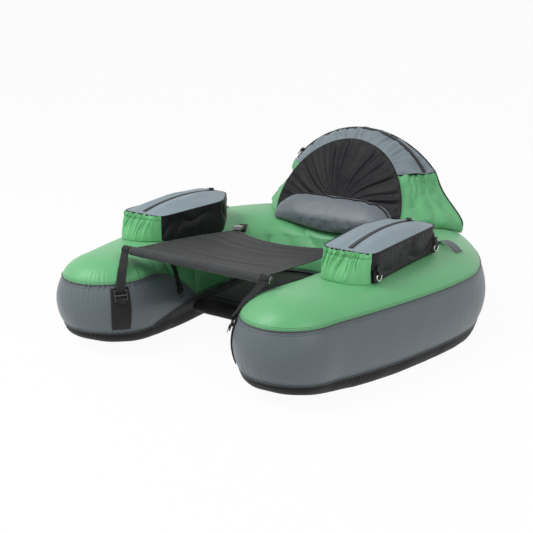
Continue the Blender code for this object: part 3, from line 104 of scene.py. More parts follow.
def set_up_studio():
    """Camera on its sphere round the target, a world that lights evenly, two area lamps and a floor."""
    scene = bpy.context.scene
    scene.view_settings.view_transform = "Standard"
    level = math.cos(camera_elevation)
    back = Vector((math.sin(camera_azimuth) * level, -math.cos(camera_azimuth) * level,
                   math.sin(camera_elevation)))
    lens = bpy.data.cameras.new("camera")
    lens.sensor_width, lens.lens = sensor_width, sensor_width * focal_pixels / frame_pixels
    scene.camera = aim("camera", lens, camera_target + back * camera_distance)

    scene.world = bpy.data.worlds.new("studio")
    show_mix(scene.world, "OutputWorld", 1.0, ("Background", {"Color": pure_white, "Strength": sky_strength}),
             ("Background", {"Color": pure_white, "Strength": 1.0}))
    for name, place, size, power in lamps:
        lamp = bpy.data.lights.new(name, "AREA")
        lamp.energy, lamp.size = power, size
        aim(name, lamp, place)

    floor_mesh = bpy.data.meshes.new("floor")
    signs = ((-1, -1), (1, -1), (1, 1), (-1, 1))
    corners = [(x * floor_reach, y * floor_reach, -floor_drop) for x, y in signs]
    floor_mesh.from_pydata(corners, [], [(0, 1, 2, 3)])
    floor = bpy.data.objects.new("floor", floor_mesh)
    scene.collection.objects.link(floor)
    floor_mesh.materials.append(bpy.data.materials.new("floor_paint"))
    show_mix(floor_mesh.materials[0], "OutputMaterial", floor_glow,
             ("BsdfDiffuse", {"Color": (floor_tone, floor_tone, floor_tone, 1)}),
             ("Emission", {"Color": pure_white, "Strength": 1.0}))


set_up_studio()

# ---------------------------------------------------------------------------------------------------
# Hull covers: a sewn tube of coated polyester round two air cells, green over the top, grey round the
# outside and the tips, and black coarse nylon below. The pressure inside rounds it and the seams
# gather the cloth into short puckers, deepest round the two tips where the seam turns hardest.
# ---------------------------------------------------------------------------------------------------
hull_width, hull_length, tube_height = 1.120, 1.310, 0.2565
band_bulge, tip_outer, tip_inner, tip_stretch = 0.019, 0.437, 0.185, 1.05
widest_y, taper_power, stern_power, stern_rounding = 0.0415, 1.5, 1.6, 0.7
bay_y, bay_half, bay_depth, bay_power = -0.0435, 0.225, 0.190, 2.6
upper_seam, lower_seam, top_power, top_rounding = 0.199, 0.0437, 2.4, 1.5
keel_inset, rise_start, seam_rise, keel_rise = 0.030, -0.2525, 0.0234, 0.0423
top_part, band_part, keel_part, band_end_part = 0.40, 0.35, 0.60, 0.70
fade_start, upper_fade, lower_fade, cover_wall = -0.460, 1.8, 0.7, 0.0020
stern_steps, arm_steps, tip_steps, easing_rows, stern_fade = 90, 170, 150, 15, 0.15

seam_half, seam_reach = hull_width / 2 - band_bulge, hull_length / 2 - band_bulge
tip_radius, tip_x = (tip_outer - tip_inner) / 2, (tip_outer + tip_inner) / 2
tip_y = tip_stretch * tip_radius - seam_reach
fade_end = bay_y - (bay_y - tip_y) / 2
band_foot = top_part + band_part

hull_green, hull_grey, hull_black = (0.132, 0.430, 0.188), (0.108, 0.133, 0.148), (0.010, 0.010, 0.011)
pucker_spacing, pucker_depth, pucker_reach = 0.0125, 0.0011, 0.022
pucker_mix, tip_start, tip_run = (0.71, 0.93, 1.0, 1.27), -0.30, 0.2
stitch_half, stitch_pitch, stitch_sink, weld_gap = 0.0011, 0.0042, 0.0004, 0.00003
crease_depth, crease_size, crease_top, crease_front = 0.0085, 0.19, 0.250, -0.62


def ramp(value, start, end):
    """Share of the way from start to end, held between 0 and 1."""
    return np.clip((value - start) / (end - start), 0, 1)


def xyz(*parts):
    """Coordinates brought to one shape and joined as points."""
    return np.stack(np.broadcast_arrays(*parts), -1)


def raised(plan, height):
    """Points of a plan with a height each."""
    return np.concatenate((plan, np.broadcast_to(height, plan.shape[:-1])[..., None]), -1)


def unit(rows):
    """The same directions, each one long."""
    return rows / np.linalg.norm(rows, axis=-1, keepdims=True)


def arch(part, power):
    """Height of a superellipse's arch, 1 in the middle and 0 at part -1 and 1."""
    return (1 - np.abs(part) ** power) ** (1 / power)


def outer_seam(y):
    """Half width at the outer seam: a power curve in to the tips, a superellipse round the stern."""
    bow = np.clip((widest_y - y) / (widest_y - tip_y), 0, None)
    ahead = seam_half - (seam_half - tip_outer) * bow ** taper_power
    stern = ramp(y, widest_y, seam_reach)
    return np.where(y < widest_y, ahead, seam_half * (1 - stern ** stern_power) ** stern_rounding)


def inner_seam(y):
    """Half width of the open bay, a straight line between the tips and the bay's middle."""
    return tip_inner + (bay_half - tip_inner) * (y - tip_y) / (bay_y - tip_y)


def bay_edge(angle):
    """Reach of a superellipse from the bay's middle to its inner seam, by direction."""
    across = (np.abs(np.cos(angle)) / bay_half) ** bay_power
    return (across + (np.abs(np.sin(angle)) / bay_depth) ** bay_power) ** (-1 / bay_power)


def stern_edge(angle):
    """Reach from the bay's middle to the outer seam by direction, by halving a bracket 40 times."""
    low, high = np.full_like(angle, bay_depth), np.full_like(angle, hull_length)
    for _ in range(40):
        middle = (low + high) / 2
        y = bay_y + middle * np.sin(angle)
        inside = (y < seam_reach) & (middle * np.cos(angle) < outer_seam(y))
        low, high = np.where(inside, middle, low), np.where(inside, high, middle)
    return low


def rise_share(y):
    """How far the underside has risen towards the tips, as the square of the way there."""
    return ramp(y, rise_start, -hull_length / 2) ** 2


def deck_curve(run):
    """Height of the top cover, from its crest at run 0 to the upper seam at run 1."""
    crown = (1 - np.clip(run, 0, 1) ** top_power) ** (1 / top_rounding)
    return upper_seam + (tube_height - upper_seam) * crown


def bulge(run):
    """How far the band stands out from its two seams, as a parabola down its side."""
    return band_bulge * (1 - (2 * run - 1) ** 2)


def hull_skin(centre, reach, share):
    """Outside of the hull: share 0 to 0.40 is the domed top, to 0.75 the bulged band, to 1 the keel."""
    width = np.linalg.norm(reach, axis=-1)
    seam = centre + reach
    lower = lower_seam + seam_rise * rise_share(seam[..., 1])
    run = ramp(share, 0, top_part)
    top = raised(centre + reach * run[..., None], deck_curve(run))
    run = ramp(share, top_part, band_foot)
    band = raised(seam + unit(reach) * bulge(run)[..., None], upper_seam + (lower - upper_seam) * run)
    run = ramp(share, band_foot, 1)
    turn = ramp(run, 0, keel_part) * math.pi / 2
    inset = keel_inset * (1 - np.cos(turn))
    plan = centre + reach * ((width - inset) / width * (1 - ramp(run, keel_part, 1)))[..., None]
    keel = keel_rise * rise_share(plan[..., 1])
    under = raised(plan, lower + (keel - lower) * np.sin(turn))
    return np.where(share[..., None] <= top_part, top, np.where(share[..., None] <= band_foot, band, under))


def skin_grid(centre, reach, share):
    """The hull's outside for a grid of shares, one row for each station."""
    shape = (*share.shape, 2)
    return hull_skin(np.broadcast_to(centre[:, None], shape), np.broadcast_to(reach[:, None], shape), share)


def arm_middle(y):
    """Middle of an arm's section at one y, and the reach from there to its outer seam."""
    outer, inner = outer_seam(y), inner_seam(y)
    return xyz((outer + inner) / 2, y), xyz((outer - inner) / 2, 0)


def stern_middle(angle):
    """Middle of the stern's section in one direction, and the reach from there to its outer seam."""
    way = xyz(np.cos(angle), np.sin(angle))
    inner, outer = bay_edge(angle)[:, None], stern_edge(angle)[:, None]
    return np.array((0, bay_y)) + way * (inner + outer) / 2, way * (outer - inner) / 2


def tip_middle(angle):
    """Centre of the rounded tip and the reach to its seam, the angle counted from the outer side."""
    reach = xyz(np.cos(angle), -np.sin(angle) * tip_stretch) * tip_radius
    return np.broadcast_to((tip_x, tip_y), reach.shape), reach


def loop_mean(rows, width):
    """The rows of a closed loop, its end not repeated, each the mean of its neighbours, done twice."""
    for _ in range(2):
        longer = np.concatenate((rows[-(width // 2):], rows, rows[:width // 2]))
        rows = np.stack([np.convolve(column, np.ones(width) / width, "valid") for column in longer.T], -1)
    return rows


def eased(rows, kept):
    """A closed loop's rows with their bends softened, and left alone where the share kept is 1."""
    mean = loop_mean(rows[:-1], easing_rows)
    mean = np.concatenate((mean, mean[:1]))
    return mean + (rows - mean) * kept


def hull_loop():
    """Stations right round the hull: in along the bay, round a tip, back outside, then the other arm."""
    angle = np.linspace(math.pi / 2, 0, stern_steps, endpoint=False)
    centre, reach = (np.concatenate(pair) for pair in zip(
        stern_middle(angle), arm_middle(np.linspace(bay_y, tip_y, arm_steps))))
    turned, swing = tip_middle(np.linspace(math.pi, 0, tip_steps + 2)[1:-1])
    bay = np.arange(2 * len(centre) + len(turned)) < len(centre)
    arms = np.concatenate((centre, turned, centre[::-1])), np.concatenate((-reach, swing, reach[::-1]))
    middles, reaches = (np.concatenate((arm, (arm * (-1, 1))[-2::-1])) for arm in arms)
    kept = ramp(middles[:, 1:], bay_y, bay_y + stern_fade)
    return eased(middles, kept), eased(reaches, kept), np.concatenate((bay, bay[-2::-1]))


def band_edges(centre, bay):
    """Shares of the band's two edges; in the bay they run together to a point on the wall."""
    fade = np.where(bay, ramp(centre[:, 1], fade_start, fade_end), 0)
    upper = top_part + band_part * band_end_part * fade ** upper_fade
    return upper, band_foot - band_part * (1 - band_end_part) * fade ** lower_fade


def deck_height(x, y):
    """Height of the hull's top over points of the plan, from the section that each lies in."""
    across = np.abs(x)
    tip = np.hypot(across - tip_x, (y - tip_y) / tip_stretch) / tip_radius
    middle = (outer_seam(y) + inner_seam(y)) / 2
    arm = np.abs(across - middle) / (outer_seam(y) - middle)
    angle = np.arctan2(y - bay_y, across)
    inner, outer = bay_edge(angle), stern_edge(np.asarray(angle, float))
    stern = np.abs(np.hypot(across, y - bay_y) - (inner + outer) / 2) / ((outer - inner) / 2)
    return deck_curve(np.where(y < tip_y, tip, np.where(y < bay_y, arm, stern)))


def waves(turn, counts, seed):
    """Folds that close on themselves: the mean of sines with whole counts of cycles a turn."""
    phase = np.random.default_rng(seed).uniform(0, 2 * math.pi, len(counts))
    return np.sin(2 * math.pi * turn[..., None] * np.array(counts) + phase).sum(-1) / len(counts) ** 0.5


def crumple(points, size, seed):
    """Soft relief with about one hump a size: the mean of 14 plane waves in seeded directions."""
    chance, count = np.random.default_rng(seed), 14
    way = chance.normal(size=(count, 3))
    way *= (2 * math.pi / size * chance.uniform(0.6, 1.5, count) / np.linalg.norm(way, axis=1))[:, None]
    return np.sin(points @ way.T + chance.uniform(0, 2 * math.pi, count)).sum(-1) / count ** 0.5


def creases(points, size, seed):
    """Sharp ridges between soft hollows, from 0 to 1."""
    return np.clip(1 - np.abs(crumple(points, size, seed)), 0, 1)


def outward(points):
    """Unit directions square to a grid, from the cross product of its two steps; up at a pole."""
    square = np.cross(np.gradient(points, axis=1), np.gradient(points, axis=0))
    length = np.linalg.norm(square, axis=-1, keepdims=True)
    return np.where(length > 1e-12, square / np.maximum(length, 1e-12), (0.0, 0.0, 1.0))


def run_length(points, axis):
    """Distance run along one axis of a grid, added up from its steps."""
    steps = np.linalg.norm(np.diff(points, axis=axis), axis=-1)
    return np.concatenate((np.zeros_like(steps.take([0], axis)), np.cumsum(steps, axis)), axis)


def grid_piece(name, points, cloth=None, hem=None, wall=0.0, out=False):
    """A piece from a grid of points, facing along (step in a row) x (row to row).

    Its map cloth holds metres along and across, and hem metres from the other edge. A wall above 0
    thickens it inwards, or outwards where out is true.
    """
    rows, columns = points.shape[:2]
    number = np.arange(rows * columns).reshape(rows, columns)
    corners = xyz(number[:-1, :-1], number[:-1, 1:], number[1:, 1:], number[1:, :-1]).reshape(-1, 4)
    mesh = bpy.data.meshes.new(name)
    mesh.from_pydata(points.reshape(-1, 3).tolist(), [], corners.tolist())
    if cloth is None:
        cloth = xyz(run_length(points, 0), run_length(points, 1))
    for title, flat in (("cloth", cloth), ("hem", hem)):
        if flat is not None:
            layer = mesh.uv_layers.new(name=title)
            layer.data.foreach_set("uv", flat.reshape(-1, 2)[corners.ravel()].ravel())
    shell = bmesh.new()
    shell.from_mesh(mesh)
    bmesh.ops.remove_doubles(shell, verts=shell.verts, dist=weld_gap)
    shell.to_mesh(mesh)
    shell.free()
    mesh.shade_smooth()
    piece = bpy.data.objects.new(name, mesh)
    bpy.context.scene.collection.objects.link(piece)
    if wall:
        thick = piece.modifiers.new("wall", "SOLIDIFY")
        thick.thickness, thick.offset, thick.use_even_offset = wall, (1 if out else -1), False
    return piece


def dress(piece, material, body, stands_for=()):
    """Give a piece its material and body, and the modelled nodes that it stands for."""
    piece.data.materials.clear()
    piece.data.materials.append(material)
    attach(piece, body)
    if stands_for:
        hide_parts(*stands_for)
    return piece


def start_finish(name):
    """A new material and its node tree."""
    made = bpy.data.materials.new(name)
    made.use_nodes = True
    return made, made.node_tree


def texture(tree, scale, detail=2.0, place=None, **inputs):
    """Noise in the object's own metres, with its cells a scale to the metre."""
    spot = place or add_node(tree, "TexCoord", {}).outputs["Object"]
    noise = add_node(tree, "TexNoise", {"Vector": spot, "Scale": scale, "Detail": detail, **inputs})
    return noise.outputs[0]


def along_and_over(tree, layer="cloth"):
    """A map's two coordinates: metres along the piece and metres across it."""
    spot = add_node(tree, "UVMap", {}, uv_map=layer).outputs[0]
    return add_node(tree, "SeparateXYZ", {0: spot}).outputs[:2]


def total(tree, *terms, clamped=False):
    """Sum of shader values, each times a number."""
    first, *others = [math_node(tree, "MULTIPLY", value, gain) for value, gain in terms]
    for other in others:
        first = math_node(tree, "ADD", first, other, clamped)
    return first


def two_tones(tree, share, colour, dark, light):
    """A colour's paint from its dark shade to its light one."""
    shades = [(*(min(value * gain, 1) for value in colour), 1) for gain in (dark, light)]
    return add_node(tree, "Mix", {0: share, 6: shades[0], 7: shades[1]}, data_type="RGBA").outputs[2]


def end_finish(made, paint, height, roughness, depth=1.0, **inputs):
    """Connect a material's paint, relief and roughness, and set its other sockets by their names."""
    tree = made.node_tree
    bump = add_node(tree, "Bump", {"Height": height, "Strength": depth, "Distance": 1.0})
    feed(tree, tree.nodes["Principled BSDF"], {"Base Color": paint, "Roughness": roughness,
                                               "Normal": bump.outputs[0], **inputs})
    return made


def stitch_rows(tree, rows):
    """Mask of sewn rows: a line at each distance from an edge, cut into dashes along it."""
    mask = 0.0
    for layer, distance in rows:
        along, over = along_and_over(tree, layer)
        off = math_node(tree, "ABSOLUTE", math_node(tree, "SUBTRACT", over, distance))
        line = math_node(tree, "SUBTRACT", 1.0, math_node(tree, "DIVIDE", off, stitch_half), clamped=True)
        wave = math_node(tree, "SINE", math_node(tree, "MULTIPLY", along, 2 * math.pi / stitch_pitch))
        dash = math_node(tree, "MULTIPLY", math_node(tree, "ADD", wave, 0.75), 3.0, clamped=True)
        mask = math_node(tree, "MAXIMUM", mask, math_node(tree, "MULTIPLY", line, dash))
    return mask


def cloth_finish(name, colour, roughness, grain=0.25, crinkle=(0.035, 0.3), mottle=0.07, sheen=0.08,
                 rows=(), thread=(0.02, 0.022, 0.024), gloss=0.4):
    """Woven cloth: its colour mottled, a fine thread grain, soft crinkles, and rows of stitches."""
    made, tree = start_finish(name)
    cloud = texture(tree, 9.0, 5.0, Roughness=0.6)
    tone = total(tree, (cloud, 0.75), (texture(tree, 420.0), 0.25))
    paint = two_tones(tree, tone, colour, 1 - mottle * 2, 1 + mottle * 2)
    height = total(tree, (texture(tree, 1 / crinkle[0], 3.0, Distortion=0.6), crinkle[1] * 0.004),
                   (texture(tree, 1500.0, 1.0), grain * 0.0004))
    if rows:
        sewn = stitch_rows(tree, rows)
        paint = add_node(tree, "Mix", {0: sewn, 6: paint, 7: (*thread, 1)}, data_type="RGBA").outputs[2]
        height = math_node(tree, "SUBTRACT", height, math_node(tree, "MULTIPLY", sewn, stitch_sink))
    rough = math_node(tree, "ADD", math_node(tree, "MULTIPLY", cloud, 0.12), roughness - 0.06)
    return end_finish(made, paint, height, rough, 0.9, **{"Sheen Weight": sheen, "Specular IOR Level": gloss})


def pucker(turn, off, centre):
    """Depth of the gathers at a distance from a seam: sharp along it, dying away from it, and about
    three times as deep where the seam turns round a tip."""
    sharp = waves(turn, np.round(np.array(pucker_mix) * loop_length / pucker_spacing), 3)
    patch = 0.6 + 0.4 * waves(turn, (9, 14, 23), 5)
    near_tip = ramp(centre[:, 1:], tip_start, tip_start - tip_run)
    return (0.35 + 0.9 * near_tip) * patch * sharp * np.exp(-off / (pucker_reach * (0.7 + 0.5 * patch)))


def make_covers():
    """The three covers on one loop of stations, each a grid from its first edge to its last."""
    global loop_length
    centre, reach, bay = hull_loop()
    upper, lower = band_edges(centre, bay)
    along = run_length(hull_skin(centre, reach, upper)[:, None], 0)
    loop_length = along[-1, 0]
    turn = along / loop_length

    def sewn(name, share, colour, swell, rows, slot, first_edge=True):
        """A cover from its shares: swollen, mapped from its first or its last edge, and dressed."""
        points = skin_grid(centre, reach, share)
        run = run_length(points, 1)
        far = run[:, -1:] - run
        points = points + outward(points) * swell(points, run, far)[..., None]
        near, other = (run, far) if first_edge else (far, run)
        roughness, gloss = (0.60, 0.15) if slot == "black_fabric" else (0.41, 0.4)
        material = cloth_finish(name + "_cloth", colour, roughness, crinkle=(0.09, 0.7), rows=rows,
                                gloss=gloss)
        piece = grid_piece(name, points, xyz(along, near), xyz(along, other), cover_wall)
        dress(piece, material, "hull", ("hull_" + name,))

    def top_swell(points, run, far):
        soft = 0.0010 * crumple(points, 0.30, 11) * ramp(far, 0, 0.05)
        deep = (bay & (centre[:, 1] > crease_front))[:, None]
        fold = crease_depth * deep * creases(points * (1, 1, 0.45), crease_size, 12) ** 3
        fold = fold * ramp(points[..., 2], crease_top, crease_top - 0.05) * ramp(far, 0, 0.02)
        return soft - fold + 0.55 * pucker_depth * pucker(turn, far, centre)

    def band_swell(points, run, far):
        gather = pucker(turn, run, centre) + 0.7 * pucker(turn[::-1], far, centre)
        soft = 0.0007 * ramp(np.minimum(run, far), 0, 0.03) * crumple(points, 0.22, 13)
        return pucker_depth * gather * ramp(run + far, 0, 0.06) + soft

    def keel_swell(points, run, far):
        gather = 0.6 * pucker_depth * pucker(turn, run, centre)
        return ramp(points[..., 2], 0, 0.012) * (gather + 0.0006 * crumple(points, 0.08, 14))

    step = np.linspace(0, 1, 34)[None]
    wall = 0.3 * ramp(upper, top_part, top_part + band_part * band_end_part)[:, None] ** 0.5
    dome = top_part * np.sin(math.pi / 2 * np.clip(step / (1 - wall), 0, 1))
    inner = top_part + (upper[:, None] - top_part) * (step - 1 + wall) / np.maximum(wall, 1e-6)
    sewn("top_cover", np.where(step <= 1 - wall, dome, inner), hull_green, top_swell,
         (("cloth", 0.0045), ("cloth", 0.0085)), "green_fabric", False)
    edge = (1 - np.cos(math.pi * np.linspace(0, 1, 27)[None])) / 2
    sewn("side_band", upper[:, None] + (lower - upper)[:, None] * edge, hull_grey, band_swell,
         (("cloth", 0.0055), ("cloth", 0.0100), ("hem", 0.0050), ("hem", 0.0095)), "grey_fabric")
    step, flat_step = np.linspace(0, 1, 22)[None], 0.8
    arc = band_foot + (1 - band_foot) * keel_part
    rise = 0.3 * ramp(lower, band_foot, band_foot - band_part * (1 - band_end_part))[:, None] ** 0.5
    foot = lower[:, None] + (band_foot - lower)[:, None] * step / np.maximum(rise, 1e-6)
    turned = band_foot + (arc - band_foot) * (step - rise) / (flat_step - rise)
    flat = arc + (1 - arc) * (step - flat_step) / (1 - flat_step)
    sewn("bottom_cover", np.where(step < rise, foot, np.where(step < flat_step, turned, flat)), hull_black,
         keel_swell, (("cloth", 0.0045),), "black_fabric")
    return centre, reach, upper, lower


centre, reach, upper, lower = make_covers()

# ---------------------------------------------------------------------------------------------------
# Hull piping: a thin cord in a folded strip of cloth, sewn into both seams all the way round.
# In the bay, where the grey band has run to a point, a single cord is left.
# ---------------------------------------------------------------------------------------------------
piping_radius, piping_out, piping_grey, piping_parting = 0.0019, 0.0008, (0.040, 0.047, 0.052), 0.004


def rounded(turn, square):
    """Cosine and sine of a turn, pulled out towards a square the nearer square is to 0."""
    return [np.sign(part) * np.abs(part) ** square for part in (np.cos(turn), np.sin(turn))]


def sweep(name, line, across, half, thick=None, square=1.0, sides=14, closed=False):
    """A cord or strap along a line: its rounded section is half wide along across, and thick deep.

    A square of 1 gives an ellipse, and below 1 a section nearer to a rectangle.
    """
    line = np.asarray(line, float)
    ahead = np.gradient(line, axis=0)
    if closed:
        ahead[[0, -1]] = line[1] - line[-2]
    ahead = unit(ahead)
    deep = unit(np.cross(np.broadcast_to(across, line.shape), ahead))
    wide = np.cross(ahead, deep)
    over, up = rounded(np.linspace(0, 2 * math.pi, sides * 2 + 1), square)
    over, up = half * over, -(thick or half) * up
    points = line[:, None] + wide[:, None] * over[None, :, None] + deep[:, None] * up[None, :, None]
    flat = xyz(run_length(points, 0), over)
    if not closed:
        points = np.concatenate((line[:1, None] + 0 * points[:1], points, line[-1:, None] + 0 * points[:1]))
        flat = np.concatenate((flat[:1] * (1, 0), flat, flat[-1:] * (1, 0)))
    return grid_piece(name, points, flat)


def make_hull_piping():
    """The upper cord runs right round; the lower one stops where the band's two edges meet."""
    cloth = cloth_finish("piping_cloth", piping_grey, 0.5, grain=0.8, crinkle=(0.02, 0.1))
    out = raised(unit(reach), 0) * piping_out
    parted = lower - upper > piping_parting
    lower_line = (hull_skin(centre, reach, lower) + out)[parted]
    for name, line, closed in (("upper_piping", hull_skin(centre, reach, upper) + out, True),
                               ("lower_piping", lower_line, False)):
        dress(sweep(name, line, (0, 0, 1), piping_radius, closed=closed), cloth, "hull")


make_hull_piping()

# ---------------------------------------------------------------------------------------------------
# Air cells: two vinyl bladders inside the covers, one in each arm, welded flat where they meet at the
# stern's middle. The covers' own stations, taken a little inside, give their shape.
# ---------------------------------------------------------------------------------------------------
cell_gap, cell_split, cell_white = 0.0115, 0.0010, (0.72, 0.73, 0.71)
hands = (("left", -1), ("right", 1))


def mirrored(points, side):
    """A right-hand grid for either side, with its rows turned round so that it still faces out."""
    return points if side > 0 else (points * np.array((-1, 1, 1)))[:, ::-1]


def solid_form(name, rings):
    """A closed form from rings of points, its open ends closed flat and its faces turned outward."""
    piece = grid_piece(name, rings)
    shell = bmesh.new()
    shell.from_mesh(piece.data)
    bmesh.ops.holes_fill(shell, edges=[edge for edge in shell.edges if edge.is_boundary], sides=0)
    bmesh.ops.recalc_face_normals(shell, faces=shell.faces)
    shell.to_mesh(piece.data)
    shell.free()
    return piece


def make_air_cells():
    """Each cell is the first half of the hull's loop, and its open section is closed flat."""
    vinyl = cloth_finish("cell_vinyl", cell_white, 0.30, grain=0.0, crinkle=(0.05, 0.3), mottle=0.02,
                         sheen=0.0)
    half = len(centre) // 2 + 1
    share = np.broadcast_to(np.linspace(0, 1, 48), (half, 48))
    inside = reach[:half] * (1 - cell_gap / np.linalg.norm(reach[:half], axis=1, keepdims=True))
    points = skin_grid(centre[:half], inside, share)
    points[..., 2] = tube_height / 2 + (points[..., 2] - tube_height / 2) * (1 - 2 * cell_gap / tube_height)
    points[..., 0] = np.maximum(points[..., 0], cell_split)
    for word, side in hands:
        piece = solid_form("air_cell_" + word, mirrored(points, side))
        dress(piece, vinyl, "hull", ("air_bladder_" + word,))


make_air_cells()

# ---------------------------------------------------------------------------------------------------
# Hard parts that keep their modelled shape: valves and caps, bar, locks, buckles, sliders and pulls.
# Moulded nylon has a fine matt skin with faint flow marks, and the drawn bar has grain along it.
# ---------------------------------------------------------------------------------------------------
nylon_black, nylon_grey = (0.012, 0.012, 0.013), (0.150, 0.158, 0.162)
nickel_tone, aluminium_tone, dulled = (0.60, 0.59, 0.57), (0.70, 0.71, 0.72), 0.12
edge_rounding, sharp_edge, hard_weld = 0.0004, math.radians(35), 0.00001
moulded_skin, metal_skin = 0.00006, 0.00001


def hard_finish(name, colour, roughness, metallic=0.0, streak=(1, 1, 1)):
    """Moulded plastic or metal: colour and gloss that wander a little, over a skin of fine bumps."""
    made, tree = start_finish(name)
    spot = add_node(tree, "TexCoord", {}).outputs["Object"]
    place = add_node(tree, "Mapping", {0: spot, 3: streak}).outputs[0]
    cloud = texture(tree, 60.0, 4.0, place)
    paint = two_tones(tree, cloud, colour, 0.86, 1.14)
    height = math_node(tree, "MULTIPLY", texture(tree, 1400.0, place=place),
                       metal_skin if metallic else moulded_skin)
    rough = math_node(tree, "ADD", math_node(tree, "MULTIPLY", cloud, 0.16), roughness - 0.08)
    return end_finish(made, paint, height, rough, Metallic=metallic)


def refinish(nodes, material):
    """Give modelled nodes their finish, and a small round on each hard edge."""
    for name in nodes:
        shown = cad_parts[name]
        shown.data.materials.clear()
        shown.data.materials.append(material)
        shown.modifiers.new("weld", "WELD").merge_threshold = hard_weld
        edges = shown.modifiers.new("rounding", "BEVEL")
        edges.width, edges.segments = edge_rounding, 2
        edges.limit_method, edges.angle_limit = "ANGLE", sharp_edge


def both(*names):
    """The left and right node of each name."""
    return [name + side for name in names for side in ("_left", "_right")]


nickel = hard_finish("nickel", nickel_tone, 0.24, 1.0)
dark_nickel = hard_finish("dark_nickel", tuple(value * dulled for value in nickel_tone), 0.35, 1.0)
refinish([*both("valve_cap", "ladder_lock", "bag_slider", "bag_pull"), "back_slider", "back_pull"],
         hard_finish("black_nylon", nylon_black, 0.38))
refinish(both("valve", "buckle_tongue", "buckle_housing"), hard_finish("grey_nylon", nylon_grey, 0.34))
refinish(both("bar_plug"), dark_nickel)
refinish(["stabilizer_bar"], hard_finish("drawn_aluminium", aluminium_tone, 0.34, 1.0, (0.04, 1, 1)))

# ---------------------------------------------------------------------------------------------------
# Gear bags: black nylon sides that slump in soft folds, a crowned blue grey lid split by a curved zip,
# and a black cord sewn into the seam between them. Their corners are round and their sides bulge.
# ---------------------------------------------------------------------------------------------------
bag_front, bag_rear, bag_outer, bag_waist_y = -0.3185, 0.0415, 0.428, -0.0600
bag_inner_front, bag_inner_rear, bag_inner_waist = 0.275, 0.315, 0.250
bag_corners = ((bag_inner_front, bag_front), (bag_outer, bag_front), (bag_outer, bag_rear),
               (bag_inner_rear, bag_rear), (bag_inner_waist, bag_waist_y))
bag_window, bag_steps, bag_bulge, bag_lift, bag_wall = 0.050, 360, 0.0056, 0.0020, 0.0012
bag_seam_front, bag_seam_rear, bag_slump, bag_gather = 0.3250, 0.3330, 0.0085, 0.0006
ridge_x, ridge_y, ridge_z, ridge_radius = 0.355, -0.11974, -0.55104, 0.900
ridge_lean, ridge_half, crown_power = -0.0212, 0.1843, 2.2
lid_overhang, lid_puff, puff_out, puff_wide, lid_soft = 0.0014, 0.0042, 0.034, 0.018, 0.0016
zip_half, zip_lift, coil_half, coil_rise, coil_pitch = 0.0062, 0.0005, 0.0026, 0.0012, 0.0021
zip_wall, seam_cord = 0.0008, 0.0021
coil_edge, coil_relief, tape_relief, crown_least, seam_out = 4000.0, 0.0004, 0.0002, 0.004, 0.0006
slump_size, lid_soft_size, lid_clear, lid_gather, lid_gather_reach = 0.105, 0.10, 0.0006, 0.0007, 0.012
zip_press, zip_press_reach, lid_rim_reach = 0.0008, 0.010, 0.03
bag_grey, bag_black, zip_black = (0.225, 0.288, 0.325), (0.010, 0.010, 0.012), (0.012, 0.012, 0.013)


def resampled(line, places):
    """A line of (x, y) rows at distances along it."""
    run = run_length(line[:, None], 0)[:, 0]
    return xyz(*(np.interp(places * run[-1], run, line[:, axis]) for axis in (0, 1))), run[-1]


def bag_plan():
    """The bag's outline in even steps; averaging over a window along it rounds its corners."""
    closed = np.array([*bag_corners, bag_corners[0]])
    even, long = resampled(closed, np.linspace(0, 1, bag_steps, endpoint=False))
    even = loop_mean(even, int(bag_window / long * bag_steps) | 1)
    return np.concatenate((even, even[:1]))


def bag_seam(y):
    """Height of the seam between the sides and the lid, which rises a little to the rear."""
    return bag_seam_front + (bag_seam_rear - bag_seam_front) * (y - bag_front) / (bag_rear - bag_front)


def bag_crown(x, y):
    """Height of the lid over its seam: an arc along the zip, a power curve across it."""
    ridge = ridge_z + np.sqrt(ridge_radius ** 2 - (y - ridge_y) ** 2) - bag_seam(y)
    inner = np.interp(y, (bag_front, bag_waist_y, bag_rear),
                      (bag_inner_front, bag_inner_waist, bag_inner_rear))
    reach = np.where(x > ridge_x, bag_outer - ridge_x, ridge_x - inner)
    return np.maximum(ridge, crown_least) * (1 - ramp(np.abs(x - ridge_x), 0, reach) ** crown_power)


def zip_finish(name, colour):
    """Zip: a matt tape with a fine weave, and a coil of close turns along its middle, its colour lightened
    along each turn as a painted highlight.
    """
    made, tree = start_finish(name)
    along, over = along_and_over(tree)
    off = math_node(tree, "ABSOLUTE", over)
    coil = math_node(tree, "MULTIPLY", math_node(tree, "SUBTRACT", coil_half, off), coil_edge, clamped=True)
    turns = math_node(tree, "SINE", math_node(tree, "MULTIPLY", along, 2 * math.pi / coil_pitch))
    height = total(tree, (math_node(tree, "MULTIPLY", turns, coil), coil_relief),
                   (texture(tree, 1600.0), tape_relief))
    # Painted highlight: the coil's colour is lightened towards the crest of each turn.
    tone = math_node(tree, "ADD", math_node(tree, "MULTIPLY", turns, 0.4), 0.6, clamped=True)
    coil_painted_highlight = math_node(tree, "MULTIPLY", math_node(tree, "MULTIPLY", coil, tone), 0.8)
    rough = math_node(tree, "SUBTRACT", 0.80, math_node(tree, "MULTIPLY", coil, 0.42))
    return end_finish(made, two_tones(tree, coil_painted_highlight, colour, 1, 3.2), height, rough)


def zip_strip(name, line, across, up, half=zip_half):
    """A zip along a line: flat tape, with the coil standing up along its middle."""
    over = np.linspace(-half, half, 25)
    rise = coil_rise * np.sqrt(np.clip(1 - (over / coil_half) ** 2, 0, 1))
    points = (line[:, None] + np.broadcast_to(across, line.shape)[:, None] * over[None, :, None]
              + np.broadcast_to(up, line.shape)[:, None] * rise[None, :, None])
    return grid_piece(name, points, xyz(run_length(points, 0), over), wall=zip_wall)


zip_cloth = zip_finish("bag_zip", zip_black)
cord_cloth = cloth_finish("bag_cord", zip_black, 0.45, grain=0.8, crinkle=(0.02, 0.1), sheen=0.0, gloss=0.15)


